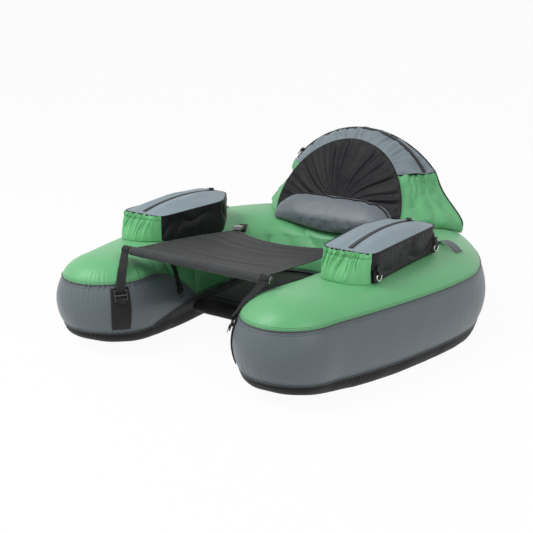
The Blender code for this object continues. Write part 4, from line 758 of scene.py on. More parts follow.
def black_cord(name, line, across, half, closed=False):
    """A black cord sewn into a seam of the hull's fittings."""
    dress(sweep(name, line, across, half, closed=closed), cord_cloth, "hull")


def bag_sides(plan, away, turn, side):
    """The sides from the hull up to the seam, bulged, slumped in folds and gathered under the seam."""
    rise = np.linspace(0, 1, 40)[:, None]
    base = deck_height(plan[:, 0], plan[:, 1])[None] + bag_lift
    spot = xyz(plan[None, :, 0], plan[None, :, 1], base + (bag_seam(plan[:, 1])[None] - base) * rise)
    gather = waves(turn[None] + 0 * rise, (53, 71, 90), 31 + side) * np.exp(-(1 - rise) * 7)
    belly = np.sin(math.pi * rise)
    out = bag_bulge * belly ** 0.8 + bag_gather * gather
    out = out - bag_slump * creases(spot * (1, 1, 0.8), slump_size, 31 + side) ** 2 * belly
    spot[..., :2] += away[None] * out[..., None]
    return spot


def bag_lid(plan, away, turn, side):
    """The lid in rings from its rim to its middle, with its map: puffed beside the zip, pinned under it."""
    ring = np.cos(np.linspace(0, 1, 46) * math.pi / 2)[:, None]
    hub = np.array((ridge_x, (bag_front + bag_rear) / 2))
    flat = hub + (plan + away * lid_overhang - hub)[None] * ring[..., None]
    x, y = flat[..., 0], flat[..., 1]
    crown = bag_crown(x, y) * np.sqrt(np.clip(1 - ring ** 7, 0, 1))
    lid = raised(flat, bag_seam(y) + crown + lid_clear)
    rim, aside = run_length(lid, 0), np.abs(x - ridge_x)
    soft = lid_soft * crumple(lid, lid_soft_size, 38 + side)
    soft += lid_puff * np.exp(-((aside - puff_out) / puff_wide) ** 2)
    sewn = lid_gather * waves(turn[None] + 0 * ring, (61, 83, 97), 31 + side)
    sewn = sewn * np.exp(-rim / lid_gather_reach) * (ring < 1)
    pressed = sewn - zip_press * ramp(aside, zip_press_reach, 0)
    lid[..., 2] += soft * ramp(rim, 0, lid_rim_reach) * ramp(aside, 0.007, 0.027) + pressed
    return lid, xyz(turn[None] * run_length(plan[:, None], 0)[-1], rim)


def make_bags():
    """Both bags: sides from the hull to the seam, lid, seam cord and zip."""
    sides_cloth = cloth_finish("bag_nylon", bag_black, 0.44, grain=0.5, crinkle=(0.03, 0.9), sheen=0.04,
                               gloss=0.16)
    lid_cloth = cloth_finish("lid_nylon", bag_grey, 0.55, grain=0.6, crinkle=(0.05, 0.4), mottle=0.05,
                             rows=(("cloth", 0.0050),), thread=(0.06, 0.08, 0.09))
    plan = bag_plan()
    step = np.gradient(plan, axis=0)
    step[[0, -1]] = plan[1] - plan[-2]
    away = unit(xyz(step[:, 1], -step[:, 0]))
    turn = np.linspace(0, 1, len(plan))
    for word, side in hands:
        points = mirrored(bag_sides(plan, away, turn, side), side)
        piece = grid_piece("bag_sides_" + word, points, wall=bag_wall)
        dress(piece, sides_cloth, "hull", ("bag_body_" + word,))
        lid, cloth = bag_lid(plan, away, turn, side)
        piece = grid_piece("bag_top_" + word, mirrored(lid, side), cloth if side > 0 else cloth[:, ::-1])
        dress(piece, lid_cloth, "hull", ("bag_lid_" + word,))
        seam = raised(plan + away * seam_out, bag_seam(plan[:, 1])) * (side, 1, 1)
        black_cord("bag_seam_cord_" + word, seam, (0, 0, 1), seam_cord, closed=True)
        swing = np.linspace(ridge_lean - ridge_half, ridge_lean + ridge_half, 90)
        up = xyz(0, np.sin(swing), np.cos(swing))
        line = np.array((ridge_x * side, ridge_y, ridge_z)) + up * (ridge_radius + zip_lift)
        dress(zip_strip("bag_zipper_" + word, line, (-1, 0, 0), up), zip_cloth, "hull", ("bag_zip_" + word,))


make_bags()

# ---------------------------------------------------------------------------------------------------
# Front pockets: thin green stretch nylon, cut wide and drawn in by an elastic below the hem. The hem
# stands above it as a ruffle, and the gathers open into long soft folds down to the hull.
# ---------------------------------------------------------------------------------------------------
pocket_left_x, pocket_right_x, pocket_mouth_z, pocket_wall = 0.2800, 0.4230, 0.3265, 0.0014
pocket_deep, pocket_mouth, pocket_rim, pocket_power, pocket_foot = 0.0580, 0.0105, 0.0050, 2.6, 0.97
pocket_belly, hem_share, ruffle_depth, fold_depth = 0.35, 0.84, 0.0034, 0.0056
pocket_back_y, elastic_pull, lip_wave = -0.27, 0.0030, 0.0018
pocket_green = (0.150, 0.500, 0.205)
pocket_gap, pocket_lift, pocket_least = 0.0004, 0.0014, 0.001


def bump_at(value, middle, reach):
    """A bell curve: 1 at its middle, and about a third one reach away."""
    return np.exp(-((value - middle) / reach) ** 2)


def make_pockets():
    """Each pocket is one grid: under its belly, up the front with its folds, and on to the ruffle."""
    cloth = cloth_finish("pocket_nylon", pocket_green, 0.52, grain=0.4, crinkle=(0.02, 0.5), mottle=0.06,
                         sheen=0.25, rows=(("hem", 0.0115), ("hem", 0.0135)), thread=(0.05, 0.22, 0.08))
    across = np.linspace(-1, 1, 170)[None]
    up = np.concatenate((np.zeros(6), np.linspace(0, 1, 64)))[:, None]
    under = np.concatenate((np.linspace(0, 1, 7)[:-1], np.ones(64)))[:, None]
    x = (pocket_left_x + pocket_right_x) / 2 + (pocket_right_x - pocket_left_x) / 2 * across
    front = bag_plan()
    front = front[front[:, 1] < pocket_back_y]
    face = np.interp(x, *front[np.argsort(front[:, 0])].T) - pocket_gap
    swell = 1 - np.abs(across) ** pocket_power
    mouth, deep, foot = (pocket_rim + far * swell for far in (
        pocket_mouth - pocket_rim, pocket_deep - pocket_rim, pocket_foot * (pocket_deep - pocket_rim)))
    belly = foot + (deep - foot) * np.sin(math.pi / 2 * ramp(up, 0, pocket_belly))
    out = (belly + (mouth - belly) * up ** 2) * under
    low = deck_height(x + 0 * out, face - out) + pocket_lift
    height = low + (pocket_mouth_z - low) * up
    edge = swell ** 0.5 * under
    for word, side in hands:
        turn = (across + 1) / 2 + 0.016 * np.sin(5 * up + 6 * across)
        long_fold = waves(turn, (5, 8, 13), 41 + side) * np.clip(up * 1.6 - 0.1, 0, 1)
        long_fold += 0.55 * waves(turn, (19, 26, 33), 45 + side) * bump_at(up, hem_share, 0.30)
        ruffle = waves(turn, (23, 31, 38), 43 + side) * bump_at(up, 0.97, 0.10)
        drawn = elastic_pull * bump_at(up, hem_share, 0.035) * swell
        depth = out + (fold_depth * long_fold + ruffle_depth * ruffle - drawn) * edge
        lip = height + lip_wave * waves(turn, (9, 13), 47 + side) * ramp(up, 0.9, 1)
        points = xyz(x, face - np.maximum(depth, pocket_least * under), lip)
        hem = run_length(points, 0)
        flat = xyz(run_length(points, 1), hem[-1:] - hem)[:, ::side]
        piece = grid_piece("bag_front_pocket_" + word, mirrored(points, side), flat, flat, pocket_wall)
        dress(piece, cloth, "hull", ("bag_pocket_" + word,))


make_pockets()

# ---------------------------------------------------------------------------------------------------
# Backrest panel: a half disc of black nylon, ruched so that its folds run out like spokes from behind
# the lumbar pad to a corded rim. It leans back a little and stands on the hull.
# ---------------------------------------------------------------------------------------------------
back_front, back_base, back_slope, back_half = 0.1616, 0.2100, 0.478, 0.2236
panel_shoulder, panel_top_z, panel_power, panel_depth = 0.2868, 0.5002, 1.916, 0.0054
panel_hub_z, panel_fold, panel_puff, panel_wall, rim_cord = 0.3000, 0.0036, 0.008, 0.0030, 0.0024
hull_clear, seat_before, seat_behind = 0.0016, 0.010, 0.030


def curve_through(points, count):
    """A smooth line through rows of points: cubic pieces, the slope at each row half the step past it."""
    points = np.asarray(points, float)
    slope = np.gradient(points, axis=0)
    run = np.linspace(0, len(points) - 1, count)
    low = np.minimum(run.astype(int), len(points) - 2)
    part = (run - low).reshape(-1, *[1] * (points.ndim - 1))
    start = (2 * part ** 3 - 3 * part ** 2 + 1) * points[low]
    leave = (part ** 3 - 2 * part ** 2 + part) * slope[low]
    end = (3 * part ** 2 - 2 * part ** 3) * points[low + 1]
    return start + leave + end + (part ** 3 - part ** 2) * slope[low + 1]


def back_plane(z):
    """Front of the leaning panel at a height."""
    return back_front + back_slope * (z - back_base)


def clear_height(x, first, last):
    """Height just over the hull under a piece that spans two y positions."""
    runs = np.linspace(0, 1, 5)
    return np.max([deck_height(x, first + (last - first) * run) for run in runs], 0) + hull_clear


def panel_arch(count):
    """The panel's arched edge from left to right as (x, z)."""
    x = -back_half * np.cos(np.linspace(0, math.pi, count))
    return xyz(x, panel_shoulder + (panel_top_z - panel_shoulder) * arch(x / back_half, panel_power))


def panel_rim():
    """Outline of the panel as (x, z): up one side, over the arch, down the other and back along the hull."""
    back = np.linspace(back_half, -back_half, 40)
    foot = xyz(back, clear_height(back, back_front - seat_before, back_front + seat_behind))
    return resampled(np.concatenate((foot[-1:], panel_arch(140), foot)), np.linspace(0, 1, 260))[0]


def make_back_panel():
    """The panel's face as a fan of rows round its hub, pleated like spokes, and the cord on its rim."""
    nylon = cloth_finish("panel_nylon", bag_black, 0.46, grain=0.5, crinkle=(0.03, 0.9), sheen=0.03,
                         gloss=0.14)
    rim = panel_rim()
    part = np.sin(np.linspace(0, 1, 60) * math.pi / 2)[:, None]
    hub = np.array((0, panel_hub_z))
    flat = hub + (rim - hub)[None] * part[..., None]
    turn = np.linspace(0, 1, len(rim))[None] + 0.010 * np.sin(5 * part)
    depth = 1.2 * panel_fold * waves(turn, (17, 23, 31, 44), 61) * (part ** 2.5 * (1 - part ** 9)) ** 0.6
    depth += 0.0022 * crumple(raised(flat, 0), 0.075, 62) * part * (1 - part)
    puff = panel_puff * np.sin(math.pi * part ** 1.4)
    x, z = flat[..., 0], flat[..., 1]
    points = xyz(x, back_plane(z) - 0.0006 - np.maximum(depth + puff, 0), z)
    piece = grid_piece("back_panel_face", points, wall=panel_wall)
    dress(piece, nylon, "hull", ("back_panel",))
    x, z = panel_arch(160).T
    black_cord("back_rim_cord", xyz(x, back_plane(z) + 0.0020, z), (0, 1, 0), rim_cord)


make_back_panel()

# ---------------------------------------------------------------------------------------------------
# Pouch behind the panel: a grey arched gusset over green side gussets that spread on to the hull.
# Both are cut wide and gathered into their seams, and an arched zip runs over the grey one.
# ---------------------------------------------------------------------------------------------------
pouch_rear, pouch_split, zip_share, zip_end = 0.3723, 0.4100, 0.62, 0.985
arch_halves, arch_rises = (0.1787, 0.2380, 0.2540), (0.0902, 0.1190, 0.1170)
shoulder_z, shoulder_half, haunch_share = 0.3500, 0.2850, 0.35
foot_half, foot_z, foot_spread = 0.3500, 0.2300, 0.70
back_zip_out, back_zip_half, gusset_fold, side_fold = 0.0032, 0.0060, 0.0026, 0.0060
rear_steps, rear_puff, rear_lip, rear_cord, split_cord = 14, 0.005, 0.0008, 0.0024, 0.0016
zip_pin, arch_seam, arch_puff, arch_soft, arch_soft_size = 0.14, 0.10, 0.0045, 0.0026, 0.075
side_seam, side_rest, side_crease, side_soft, side_soft_size = 0.12, 0.02, 0.11, 0.0030, 0.06
zip_ridge, split_out = 0.0022, 0.0006
gusset_grey, gusset_green = (0.178, 0.223, 0.250), (0.130, 0.430, 0.188)


def through_three(values, share):
    """A parabola through its values at the panel, at the zip and at the rear seam."""
    first, middle, last = values
    bend = ((middle - first) / zip_share - (last - first)) / (zip_share - 1)
    return first + (last - first - bend) * share + bend * share ** 2


def pouch_depth(share, z):
    """Position from the panel's back, share 0, to the rear face, share 1."""
    near = back_plane(z) + panel_depth
    return near + (pouch_rear - near) * share


def arch_line(share, turn):
    """Points of the grey arch, a leaning circle; turn runs -1 to 1 from its left end to its right end."""
    half, rise = through_three(arch_halves, share), through_three(arch_rises, share)
    upright = np.cos(np.arctan(back_slope * (1 - share)))
    radius = (half ** 2 + (rise / upright) ** 2) / (2 * rise / upright)
    centre_z = pouch_split + rise - radius * upright
    angle = turn * np.arccos((pouch_split - centre_z) / (radius * upright))
    z = centre_z + radius * np.cos(angle) * upright
    return xyz(radius * np.sin(angle), pouch_depth(share, z), z)


def close_rear(points):
    """Rows that carry on from a gusset's rear edge to the middle of its rear face."""
    part = np.linspace(0, 1, rear_steps + 1)[1:, None, None]
    face = points[-1][None] + (np.array((0, pouch_rear, pouch_split)) - points[-1])[None] * part
    face[..., 1] += rear_puff * np.sin(math.pi * part[..., 0] ** 0.7)
    return np.concatenate((points, face))


def make_arch_gusset():
    """Grey gusset: gathered like spokes, pinned down along the zip, and on over the rear face."""
    grey = cloth_finish("gusset_grey", gusset_grey, 0.50, grain=0.4, crinkle=(0.045, 0.9), mottle=0.05,
                        sheen=0.2)
    share, turn = np.linspace(0, 1, 56)[:, None], np.linspace(-1, 1, 190)[None]
    line = arch_line(share, turn)
    pinned = ramp(np.abs(share - zip_share), 0, zip_pin)
    seams = ramp(np.minimum(share, 1 - share), 0, arch_seam)
    spokes = waves((turn + 1) / 2 + 0.020 * np.sin(4 * share + 9 * turn), (8, 13, 19, 25), 71)
    soft = arch_soft * crumple(line * (1.2, 0.6, 1), arch_soft_size, 72)
    soft = soft + arch_puff * np.sin(math.pi * ramp(share, 0, zip_share))
    swell = (soft + gusset_fold * spokes) * pinned * seams + zip_ridge * (1 - pinned)
    piece = grid_piece("pouch_arch", close_rear(line + outward(line) * swell[..., None]))
    dress(piece, grey, "hull", ("pouch_top",))


def make_side_gusset():
    """Green gusset, each row from the arch round under the pouch, and the cords along the seams."""
    green = cloth_finish("gusset_green", gusset_green, 0.47, grain=0.3, crinkle=(0.05, 0.9), sheen=0.15)
    line = np.linspace(0, 1, 36)[:, None]
    foot = back_half + (foot_half - back_half) * line ** foot_spread
    near_shoulder = back_half * arch(ramp(shoulder_z, panel_shoulder, panel_top_z), panel_power)
    shoulder = near_shoulder + (shoulder_half - near_shoulder) * line
    split = through_three(arch_halves, line)
    rear = pouch_depth(line, foot_z)
    across = np.linspace(1, -1, 15)[None] * foot
    base = clear_height(across, rear - seat_before, rear + seat_behind)
    haunch = base[:, :1] + (shoulder_z - base[:, :1]) * haunch_share
    top, middle = pouch_split + 0 * line, shoulder_z + 0 * line
    x = np.concatenate((split, shoulder, foot, across, -foot, -shoulder, -split), 1)
    z = np.concatenate((top, middle, haunch, base, haunch[:, ::-1], middle, top), 1)
    lap = curve_through(xyz(x, z).transpose(1, 0, 2), 240).transpose(1, 0, 2)
    body = xyz(lap[..., 0], pouch_depth(line, lap[..., 1]), lap[..., 1])
    floor = clear_height(body[..., 0], body[..., 1], body[..., 1])
    free = ramp(np.minimum(line, 1 - line), 0, side_seam) * ramp(body[..., 2], floor, floor + side_rest)
    fall = np.clip((pouch_split - body[..., 2]) / (pouch_split - shoulder_z), 0, 3)
    gather = waves(line + 0.03 * np.sin(7 * fall), (4, 6, 9), 73) * np.exp(-fall * 1.1)
    crease = 1.2 * creases(body * (1, 1, 1.6), side_crease, 74) ** 3 * np.clip(fall, 0, 1)
    swell = side_fold * (0.9 * gather - crease) + side_soft * crumple(body, side_soft_size, 75)
    body = body + outward(body) * (swell * free)[..., None]
    body[..., 2] = np.maximum(body[..., 2], floor)
    piece = grid_piece("pouch_sides", close_rear(body))
    dress(piece, green, "hull", ("pouch_body",))

    rear_arch = arch_line(1.0, np.linspace(-1, 1, 150)) + (0, rear_lip, rear_lip)
    black_cord("rear_arch_cord", rear_arch, (0, 1, 0), rear_cord)
    down = curve_through(xyz(x[-1, :4], pouch_rear + rear_lip, z[-1, :4]), 60)
    split_line = xyz(split[:, 0] + split_out, pouch_depth(line[:, 0], pouch_split), pouch_split)
    for word, side in hands:
        black_cord("rear_seam_cord_" + word, down * (side, 1, 1), (0, 1, 0), rear_cord)
        black_cord("split_cord_" + word, split_line * (side, 1, 1), (1, 0, 0), split_cord)


def make_back_zip():
    """The zip that lies across the arch, square to its surface."""
    swing = np.linspace(-zip_end, zip_end, 150)
    near, line, far = (arch_line(zip_share + off, swing) for off in (-0.03, 0, 0.03))
    across = unit(near - far)
    up = unit(np.cross(across, np.gradient(line, axis=0)))
    up *= np.sign(up[75, 2])
    piece = zip_strip("back_zipper", line + up * back_zip_out, across, up, back_zip_half)
    dress(piece, zip_cloth, "hull", ("back_zip",))


make_arch_gusset()
make_side_gusset()
make_back_zip()

# ---------------------------------------------------------------------------------------------------
# Lumbar pad: a long foam cushion in satin grey cloth, corded along its upper edge, sewn in front of the
# panel. Cloth simulation blows the cover up round its filling.
# ---------------------------------------------------------------------------------------------------
pad_half, pad_top, pad_power, pad_depth, pad_edge = 0.2225, 0.3433, 3.4, 0.0420, 0.0120
pad_section = ((0, 0), (0, 0.6), (0.3, 1), (0.65, 0.85), (0.92, 0.45), (1, 0.1), (1, 0), (0.5, 0), (0, 0))
pad_shrink, pad_voxel, pad_cap, pad_pressure, cloth_ticks = 0.94, 0.005, 0.010, 4.0, 20
pad_grey, pad_slump, pad_slump_share, pad_slump_face = (0.125, 0.150, 0.172), 0.014, 0.55, 0.012
pad_cord, pad_cord_lift, pad_cord_share = 0.0022, 0.0016, 0.95
pad_gap, pad_least_gap, pad_seam, search_share, search_ahead, search_over = (
    0.0008, 0.0006, 0.004, 0.55, 0.010, 0.024)


def vertex_places(mesh):
    """All of a mesh's vertex positions as one array."""
    places = np.empty(len(mesh.vertices) * 3)
    mesh.vertices.foreach_get("co", places)
    return places.reshape(-1, 3)


def settle(piece):
    """Put a piece's modifiers into its mesh."""
    shown = piece.evaluated_get(bpy.context.evaluated_depsgraph_get())
    done = bpy.data.meshes.new_from_object(shown)
    old = piece.data
    piece.modifiers.clear()
    piece.data = done
    bpy.data.meshes.remove(old)


def inflate(piece, voxel, pressure, cap):
    """Blow a closed form up as sewn cloth: remesh it, run cloth under pressure, cap how far it moves."""
    remesh = piece.modifiers.new("remesh", "REMESH")
    remesh.mode, remesh.voxel_size = "VOXEL", voxel
    settle(piece)
    before = vertex_places(piece.data)
    cloth = piece.modifiers.new("cloth", "CLOTH")
    cloth.settings.use_pressure = True
    cloth.settings.uniform_pressure_force = pressure
    cloth.settings.effector_weights.gravity = 0.0
    cloth.settings.quality = 6
    cloth.point_cache.frame_start, cloth.point_cache.frame_end = 1, cloth_ticks
    for tick in range(1, cloth_ticks + 1):
        bpy.context.scene.frame_set(tick)
    settle(piece)
    bpy.context.scene.frame_set(1)
    moved = vertex_places(piece.data) - before
    far = np.linalg.norm(moved, axis=1, keepdims=True)
    moved *= np.minimum(1, cap / np.maximum(far, 1e-9))
    piece.data.vertices.foreach_set("co", (before + moved).ravel())
    piece.data.update()
    piece.data.shade_smooth()
    finer = piece.modifiers.new("finer", "SUBSURF")
    finer.levels = finer.render_levels = 1


def make_lumbar_pad():
    """The pad's blown cover, and the cord laid on its surface along the upper seam."""
    satin = cloth_finish("pad_satin", pad_grey, 0.40, grain=0.3, crinkle=(0.06, 0.5), mottle=0.05, sheen=0.2)
    x = pad_half * pad_shrink * np.sin(math.pi / 2 * np.linspace(-1, 1, 90)[:, None])
    crown = arch(x / pad_half, pad_power)
    depth = pad_edge + (pad_depth - pad_edge) * crown
    low = clear_height(x, back_front - depth, back_front + seat_behind)
    high = np.maximum(back_base + (pad_top - back_base) * crown, low + pad_edge) - pad_seam
    rise, out = curve_through(pad_section, 64).T
    z = low + (high - low) * np.clip(rise, 0, 1)[None]
    y = back_plane(z) - pad_gap - depth * np.clip(out, 0, 1.02)[None]
    piece = solid_form("lumbar_cushion", xyz(x, y, z))
    inflate(piece, pad_voxel, pad_pressure, pad_cap)
    places = vertex_places(piece.data)
    x_at, y_at, z_at = places.T
    sag = pad_slump * ramp(z_at, back_base + pad_slump_share * (pad_top - back_base), back_base)
    sag = sag * ramp(back_plane(z_at) - y_at, 0, pad_slump_face)
    y_at -= sag * (0.5 + np.abs(x_at) / pad_half)
    z_at -= sag * 1.6
    z_at[:] = np.maximum(z_at, clear_height(x_at, y_at, y_at))
    y_at[:] = np.minimum(y_at, back_plane(z_at) - pad_least_gap)
    piece.data.vertices.foreach_set("co", places.ravel())
    dress(piece, satin, "hull", ("lumbar_pad",))

    seam_z = (low + (high - low) * pad_cord_share)[:, 0]
    ahead = back_plane(seam_z) - depth[:, 0] * search_share - search_ahead
    seam = xyz(x[:, 0], ahead, seam_z + search_over)
    hits = [piece.closest_point_on_mesh(point)[1:3] for point in curve_through(seam, 160).tolist()]
    line = np.array([list(spot + square * pad_cord_lift) for spot, square in hits])
    black_cord("lumbar_cord", line, (0, 1, 0), pad_cord)


make_lumbar_pad()

# ---------------------------------------------------------------------------------------------------
# Seat: a foam cushion that fills the bay between the arms, blown up by cloth simulation, with a dark
# mesh panel laid over it. The mesh carries the rider, so it has slack folds across it.
# ---------------------------------------------------------------------------------------------------
seat_front, seat_low, seat_high, seat_round, seat_gap = -0.3050, 0.0450, 0.0900, 0.0120, 0.0016
seat_shrink, seat_voxel, seat_cap, seat_pressure, seat_panel_share = 0.005, 0.006, 0.005, 3.0, 0.80
seat_fold, seat_panel_lift, seat_panel_wall, net_pitch, net_relief = 0.0016, 0.0012, 0.0010, 0.0042, 0.0003
mesh_charcoal = (0.019, 0.020, 0.021)


def net_finish(name, colour):
    """Knitted mesh: ribs one way and finer cross threads the other, and the holes between them painted dark
    as painted shade of what lies behind.
    """
    made, tree = start_finish(name)
    along, over = along_and_over(tree)
    rib = math_node(tree, "SINE", math_node(tree, "MULTIPLY", along, 2 * math.pi / net_pitch))
    cross = math_node(tree, "SINE", math_node(tree, "MULTIPLY", over, 4 * math.pi / net_pitch))
    knit = math_node(tree, "MAXIMUM", rib, math_node(tree, "MULTIPLY", cross, 0.7))
    # Painted shade: the colour darkens where the knit is low, in the holes between the threads; the thread
    # pattern itself is real.
    tone = total(tree, (knit, 0.28), (texture(tree, 14.0, 4.0), 0.7), clamped=True)
    height = math_node(tree, "MULTIPLY", knit, net_relief)
    return end_finish(made, two_tones(tree, tone, colour, 0.35, 2.1), height, 0.58,
                      **{"Sheen Weight": 0.05, "Specular IOR Level": 0.22})


def seat_plan(shrink, z):
    """Outline of the seat inside the bay at one height, pulled in by a distance, as a closed loop."""
    clear = bulge(ramp(z, upper_seam, lower_seam)) + seat_gap + shrink
    y = np.linspace(seat_front + shrink, bay_y, 60, endpoint=False)
    angle = np.linspace(0, math.pi / 2, 60)
    stern = np.stack((np.cos(angle), np.sin(angle)), -1) * (bay_edge(angle) - clear)[:, None] + (0, bay_y)
    half = np.concatenate((np.stack((inner_seam(y) - clear, y), -1), stern))
    other = half[-2::-1] * (-1, 1)
    return np.concatenate((half, other, np.linspace(other[-1], half[0], 30)[1:]))


def make_seat():
    """The cushion's blown cover and, on top of it, the mesh panel with folds across."""
    nylon = cloth_finish("seat_nylon", hull_black, 0.60, grain=0.5, crinkle=(0.04, 0.8), sheen=0.03,
                         gloss=0.15)
    turn = np.linspace(-math.pi / 2, math.pi / 2, 16)
    levels = (seat_low + seat_high) / 2 + (seat_high - seat_low - 0.006) / 2 * np.sin(turn)
    pull = seat_round * (1 - np.cos(turn)) + seat_shrink
    rings = [np.insert(seat_plan(pulled, level), 2, level, axis=1) for pulled, level in zip(pull, levels)]
    cushion = solid_form("seat_pad", np.array(rings))
    inflate(cushion, seat_voxel, seat_pressure, seat_cap)
    dress(cushion, nylon, "hull", ("seat_cushion",))

    plan = seat_plan(seat_round, seat_high)
    hub = np.array((0, (seat_front + bay_y + bay_depth) / 2))
    part = np.linspace(1, 0, 40)[:, None, None]
    flat = hub + (plan - hub)[None] * seat_panel_share * part
    down = [cushion.ray_cast((x, y, seat_high + 0.05), (0, 0, -1)) for x, y in flat.reshape(-1, 2).tolist()]
    top = np.array([spot[2] if found else seat_high for found, spot, _, _ in down]).reshape(flat.shape[:2])
    folds = waves(flat[..., 1] / 0.5 + 0.05 * np.sin(flat[..., 0] * 9), (6, 9, 14), 81)
    lift = seat_panel_lift + seat_fold * (1 + folds) * np.clip(1 - part[..., 0] ** 8, 0, 1)
    points = raised(flat, top + lift)
    panel = grid_piece("seat_net_panel", points, flat[..., ::-1], wall=seat_panel_wall)
    dress(panel, net_finish("seat_net", mesh_charcoal), "hull", ("seat_mesh",))


make_seat()

# ---------------------------------------------------------------------------------------------------
# Apron: a charcoal mesh sheet whose front hem is a sleeve round the cross bar. It narrows to the rear,
# sags in shallow folds from side to side, and has a thin bound edge.
# ---------------------------------------------------------------------------------------------------
bar_y, bar_z, bar_radius, sleeve_half, sleeve_gap = -0.5015, 0.2737, 0.0100, 0.2210, 0.0009
apron_rear_half, apron_wall, apron_middle_y, apron_corner_y = 0.1930, 0.0012, -0.1285, -0.0640
apron_rear_z, apron_sag, apron_fold, binding_radius, binding_out = 0.2480, 0.0080, 0.0013, 0.0017, 0.0004
sleeve_start, sleeve_end = math.radians(-30), math.radians(-390)
apron_edge, apron_ruck, sleeve_ruffle, sleeve_soft, soft_size, soft_reach = (
    0.06, 0.0012, 0.0004, 0.0003, 0.05, 0.03)
# The sleeve's tone, about twice the sheet's, is the same mesh painted lighter as a painted highlight on the
# round bar.
sleeve_highlight_tone, binding_tone = (0.036, 0.038, 0.040), (0.060, 0.064, 0.068)


def apron_grid():
    """Points of the sheet behind its sleeve, sagging and folded, in rows from front to rear."""
    column, row = np.meshgrid(np.linspace(-1, 1, 110), np.linspace(0, 1, 120))
    rear_y = apron_middle_y + (apron_corner_y - apron_middle_y) * column ** 2
    front_y, front_z = bar_y + bar_radius + apron_wall, bar_z + bar_radius / 2
    half = sleeve_half + (apron_rear_half - sleeve_half) * row ** 2
    sag = apron_sag * (1 - column ** 2) * np.sin(math.pi * row)
    bowed = row + 0.035 * column ** 2 + 0.010 * np.sin(5 * column + 3 * row)
    folds = waves(bowed, (3, 5, 8), 91) + 0.35 * waves(bowed, (17, 23), 92)
    edge = ramp(np.minimum(row, 1 - row), 0, apron_edge) * (1 - 0.6 * np.abs(column) ** 6)
    ruck = apron_ruck * waves(row, (19, 27), 93) * np.abs(column) ** 8
    z = front_z + (apron_rear_z - front_z) * row - sag + (apron_fold * folds + ruck) * edge
    return xyz(column * half, front_y + (rear_y - front_y) * row, z)


def make_apron():
    """Sheet, sleeve and bound edge, which all swing with the apron."""
    points = apron_grid()
    flat = np.stack((run_length(points, 0), points[..., 0]), -1)
    sheet = grid_piece("apron_sheet", points, flat, wall=apron_wall)
    dress(sheet, net_finish("apron_net", mesh_charcoal), "apron", ("apron_mesh",))

    along = np.linspace(-sleeve_half, sleeve_half, 130)[:, None]
    turn = np.linspace(sleeve_start, sleeve_end, 49)[None, ::-1]
    ruffle = sleeve_ruffle * np.abs(waves((along / sleeve_half + 1) / 2 + 0 * turn, (29, 41, 53), 94))
    round_bar = xyz(along, soft_reach * np.cos(turn), soft_reach * np.sin(turn))
    soft = sleeve_soft * crumple(round_bar, soft_size, 95)
    lap = bar_radius + sleeve_gap + apron_wall + soft + ruffle
    tube = xyz(along, bar_y + lap * np.cos(turn), bar_z + lap * np.sin(turn))
    flat = np.stack((np.broadcast_to(along, lap.shape), lap * turn), -1)
    sleeve = grid_piece("apron_sleeve", tube, flat, wall=apron_wall * 0.8)
    # Painted highlight: the sleeve gets a lighter tone than the sheet's mesh.
    dress(sleeve, net_finish("sleeve_net_painted_highlight", sleeve_highlight_tone), "apron")

    left, right = points[1:, 0] - (binding_out, 0, 0), points[:0:-1, -1] + (binding_out, 0, 0)
    rim = np.concatenate((left, points[-1, 1:-1] + (0, binding_out, 0), right))
    tape = sweep("apron_binding", rim, (0, 0, 1), binding_radius, sides=8)
    binding = cloth_finish("binding_tape", binding_tone, 0.5, grain=0.8, crinkle=(0.02, 0.2))
    dress(tape, binding, "apron")


make_apron()

# ---------------------------------------------------------------------------------------------------
# Webbing: polyester straps woven in a fine herringbone. They hold the bar's ends to the tips, the
# apron's buckles to the hull and the seat's rings to the bay's walls.
# ---------------------------------------------------------------------------------------------------
strap_wide, strap_thick, herringbone, rib_half, rib_relief = 0.025, 0.0015, 0.0024, 0.0032, 0.00025
web_black, web_grey = (0.009, 0.009, 0.010), (0.120, 0.128, 0.136)
patch_angle, patch_wide, patch_thick = math.radians(32), 0.053, 0.0012
patch_top, patch_foot, patch_lift, clearance = 0.06, 0.90, 0.0016, 0.0004
lock_z, lock_high, lock_thick, lock_bar, weave_margin = 0.168, 0.030, 0.0040, 0.0045, 0.0005
strap_bar_x, strap_over = 0.2360, 0.0036
lock_behind, wrap_over, strap_square = 0.0012, 0.0006, 0.22
x_way, z_way = np.array((1.0, 0.0, 0.0)), np.array((0.0, 0.0, 1.0))


def webbing_finish(name, colour):
    """Herringbone webbing: slanted ribs that turn back on each other every few millimetres."""
    made, tree = start_finish(name)
    along, over = along_and_over(tree)
    zigzag = math_node(tree, "PINGPONG", math_node(tree, "ADD", over, 1.0), rib_half)
    slant = math_node(tree, "ADD", along, zigzag)
    rib = math_node(tree, "SINE", math_node(tree, "MULTIPLY", slant, 2 * math.pi / herringbone))
    tone = total(tree, (rib, 0.25), (texture(tree, 70.0), 1.0), clamped=True)
    height = math_node(tree, "MULTIPLY", rib, rib_relief)
    return end_finish(made, two_tones(tree, tone, colour, 0.6, 1.9), height, 0.50,
                      **{"Sheen Weight": 0.03, "Specular IOR Level": 0.25})


black_web, grey_web = webbing_finish("black_webbing", web_black), webbing_finish("grey_webbing", web_grey)


def in_place(origin, x_axis, z_axis, points):
    """Points of a local frame, given its origin, X direction and rough Z direction, in the craft's frame."""
    x_axis = unit(np.array(x_axis, float))
    y_axis = unit(np.cross(z_axis, x_axis))
    basis = np.stack((x_axis, y_axis, np.cross(x_axis, y_axis)))
    return np.array(origin) + np.asarray(points, float) @ basis


def ribbon(name, node, points, across, wide=strap_wide, thick=strap_thick, fine=9, web=black_web):
    """A strap of webbing along a smooth line through its points, in a node's place."""
    knots = np.asarray(points, float)
    line = curve_through(knots, fine * (len(knots) - 1) + 1)
    over = unit(curve_through(np.broadcast_to(across, knots.shape), len(line)))
    piece = sweep(name, line, over, wide / 2, thick / 2, square=strap_square, sides=12)
    dress(piece, web, "hull", (node,))


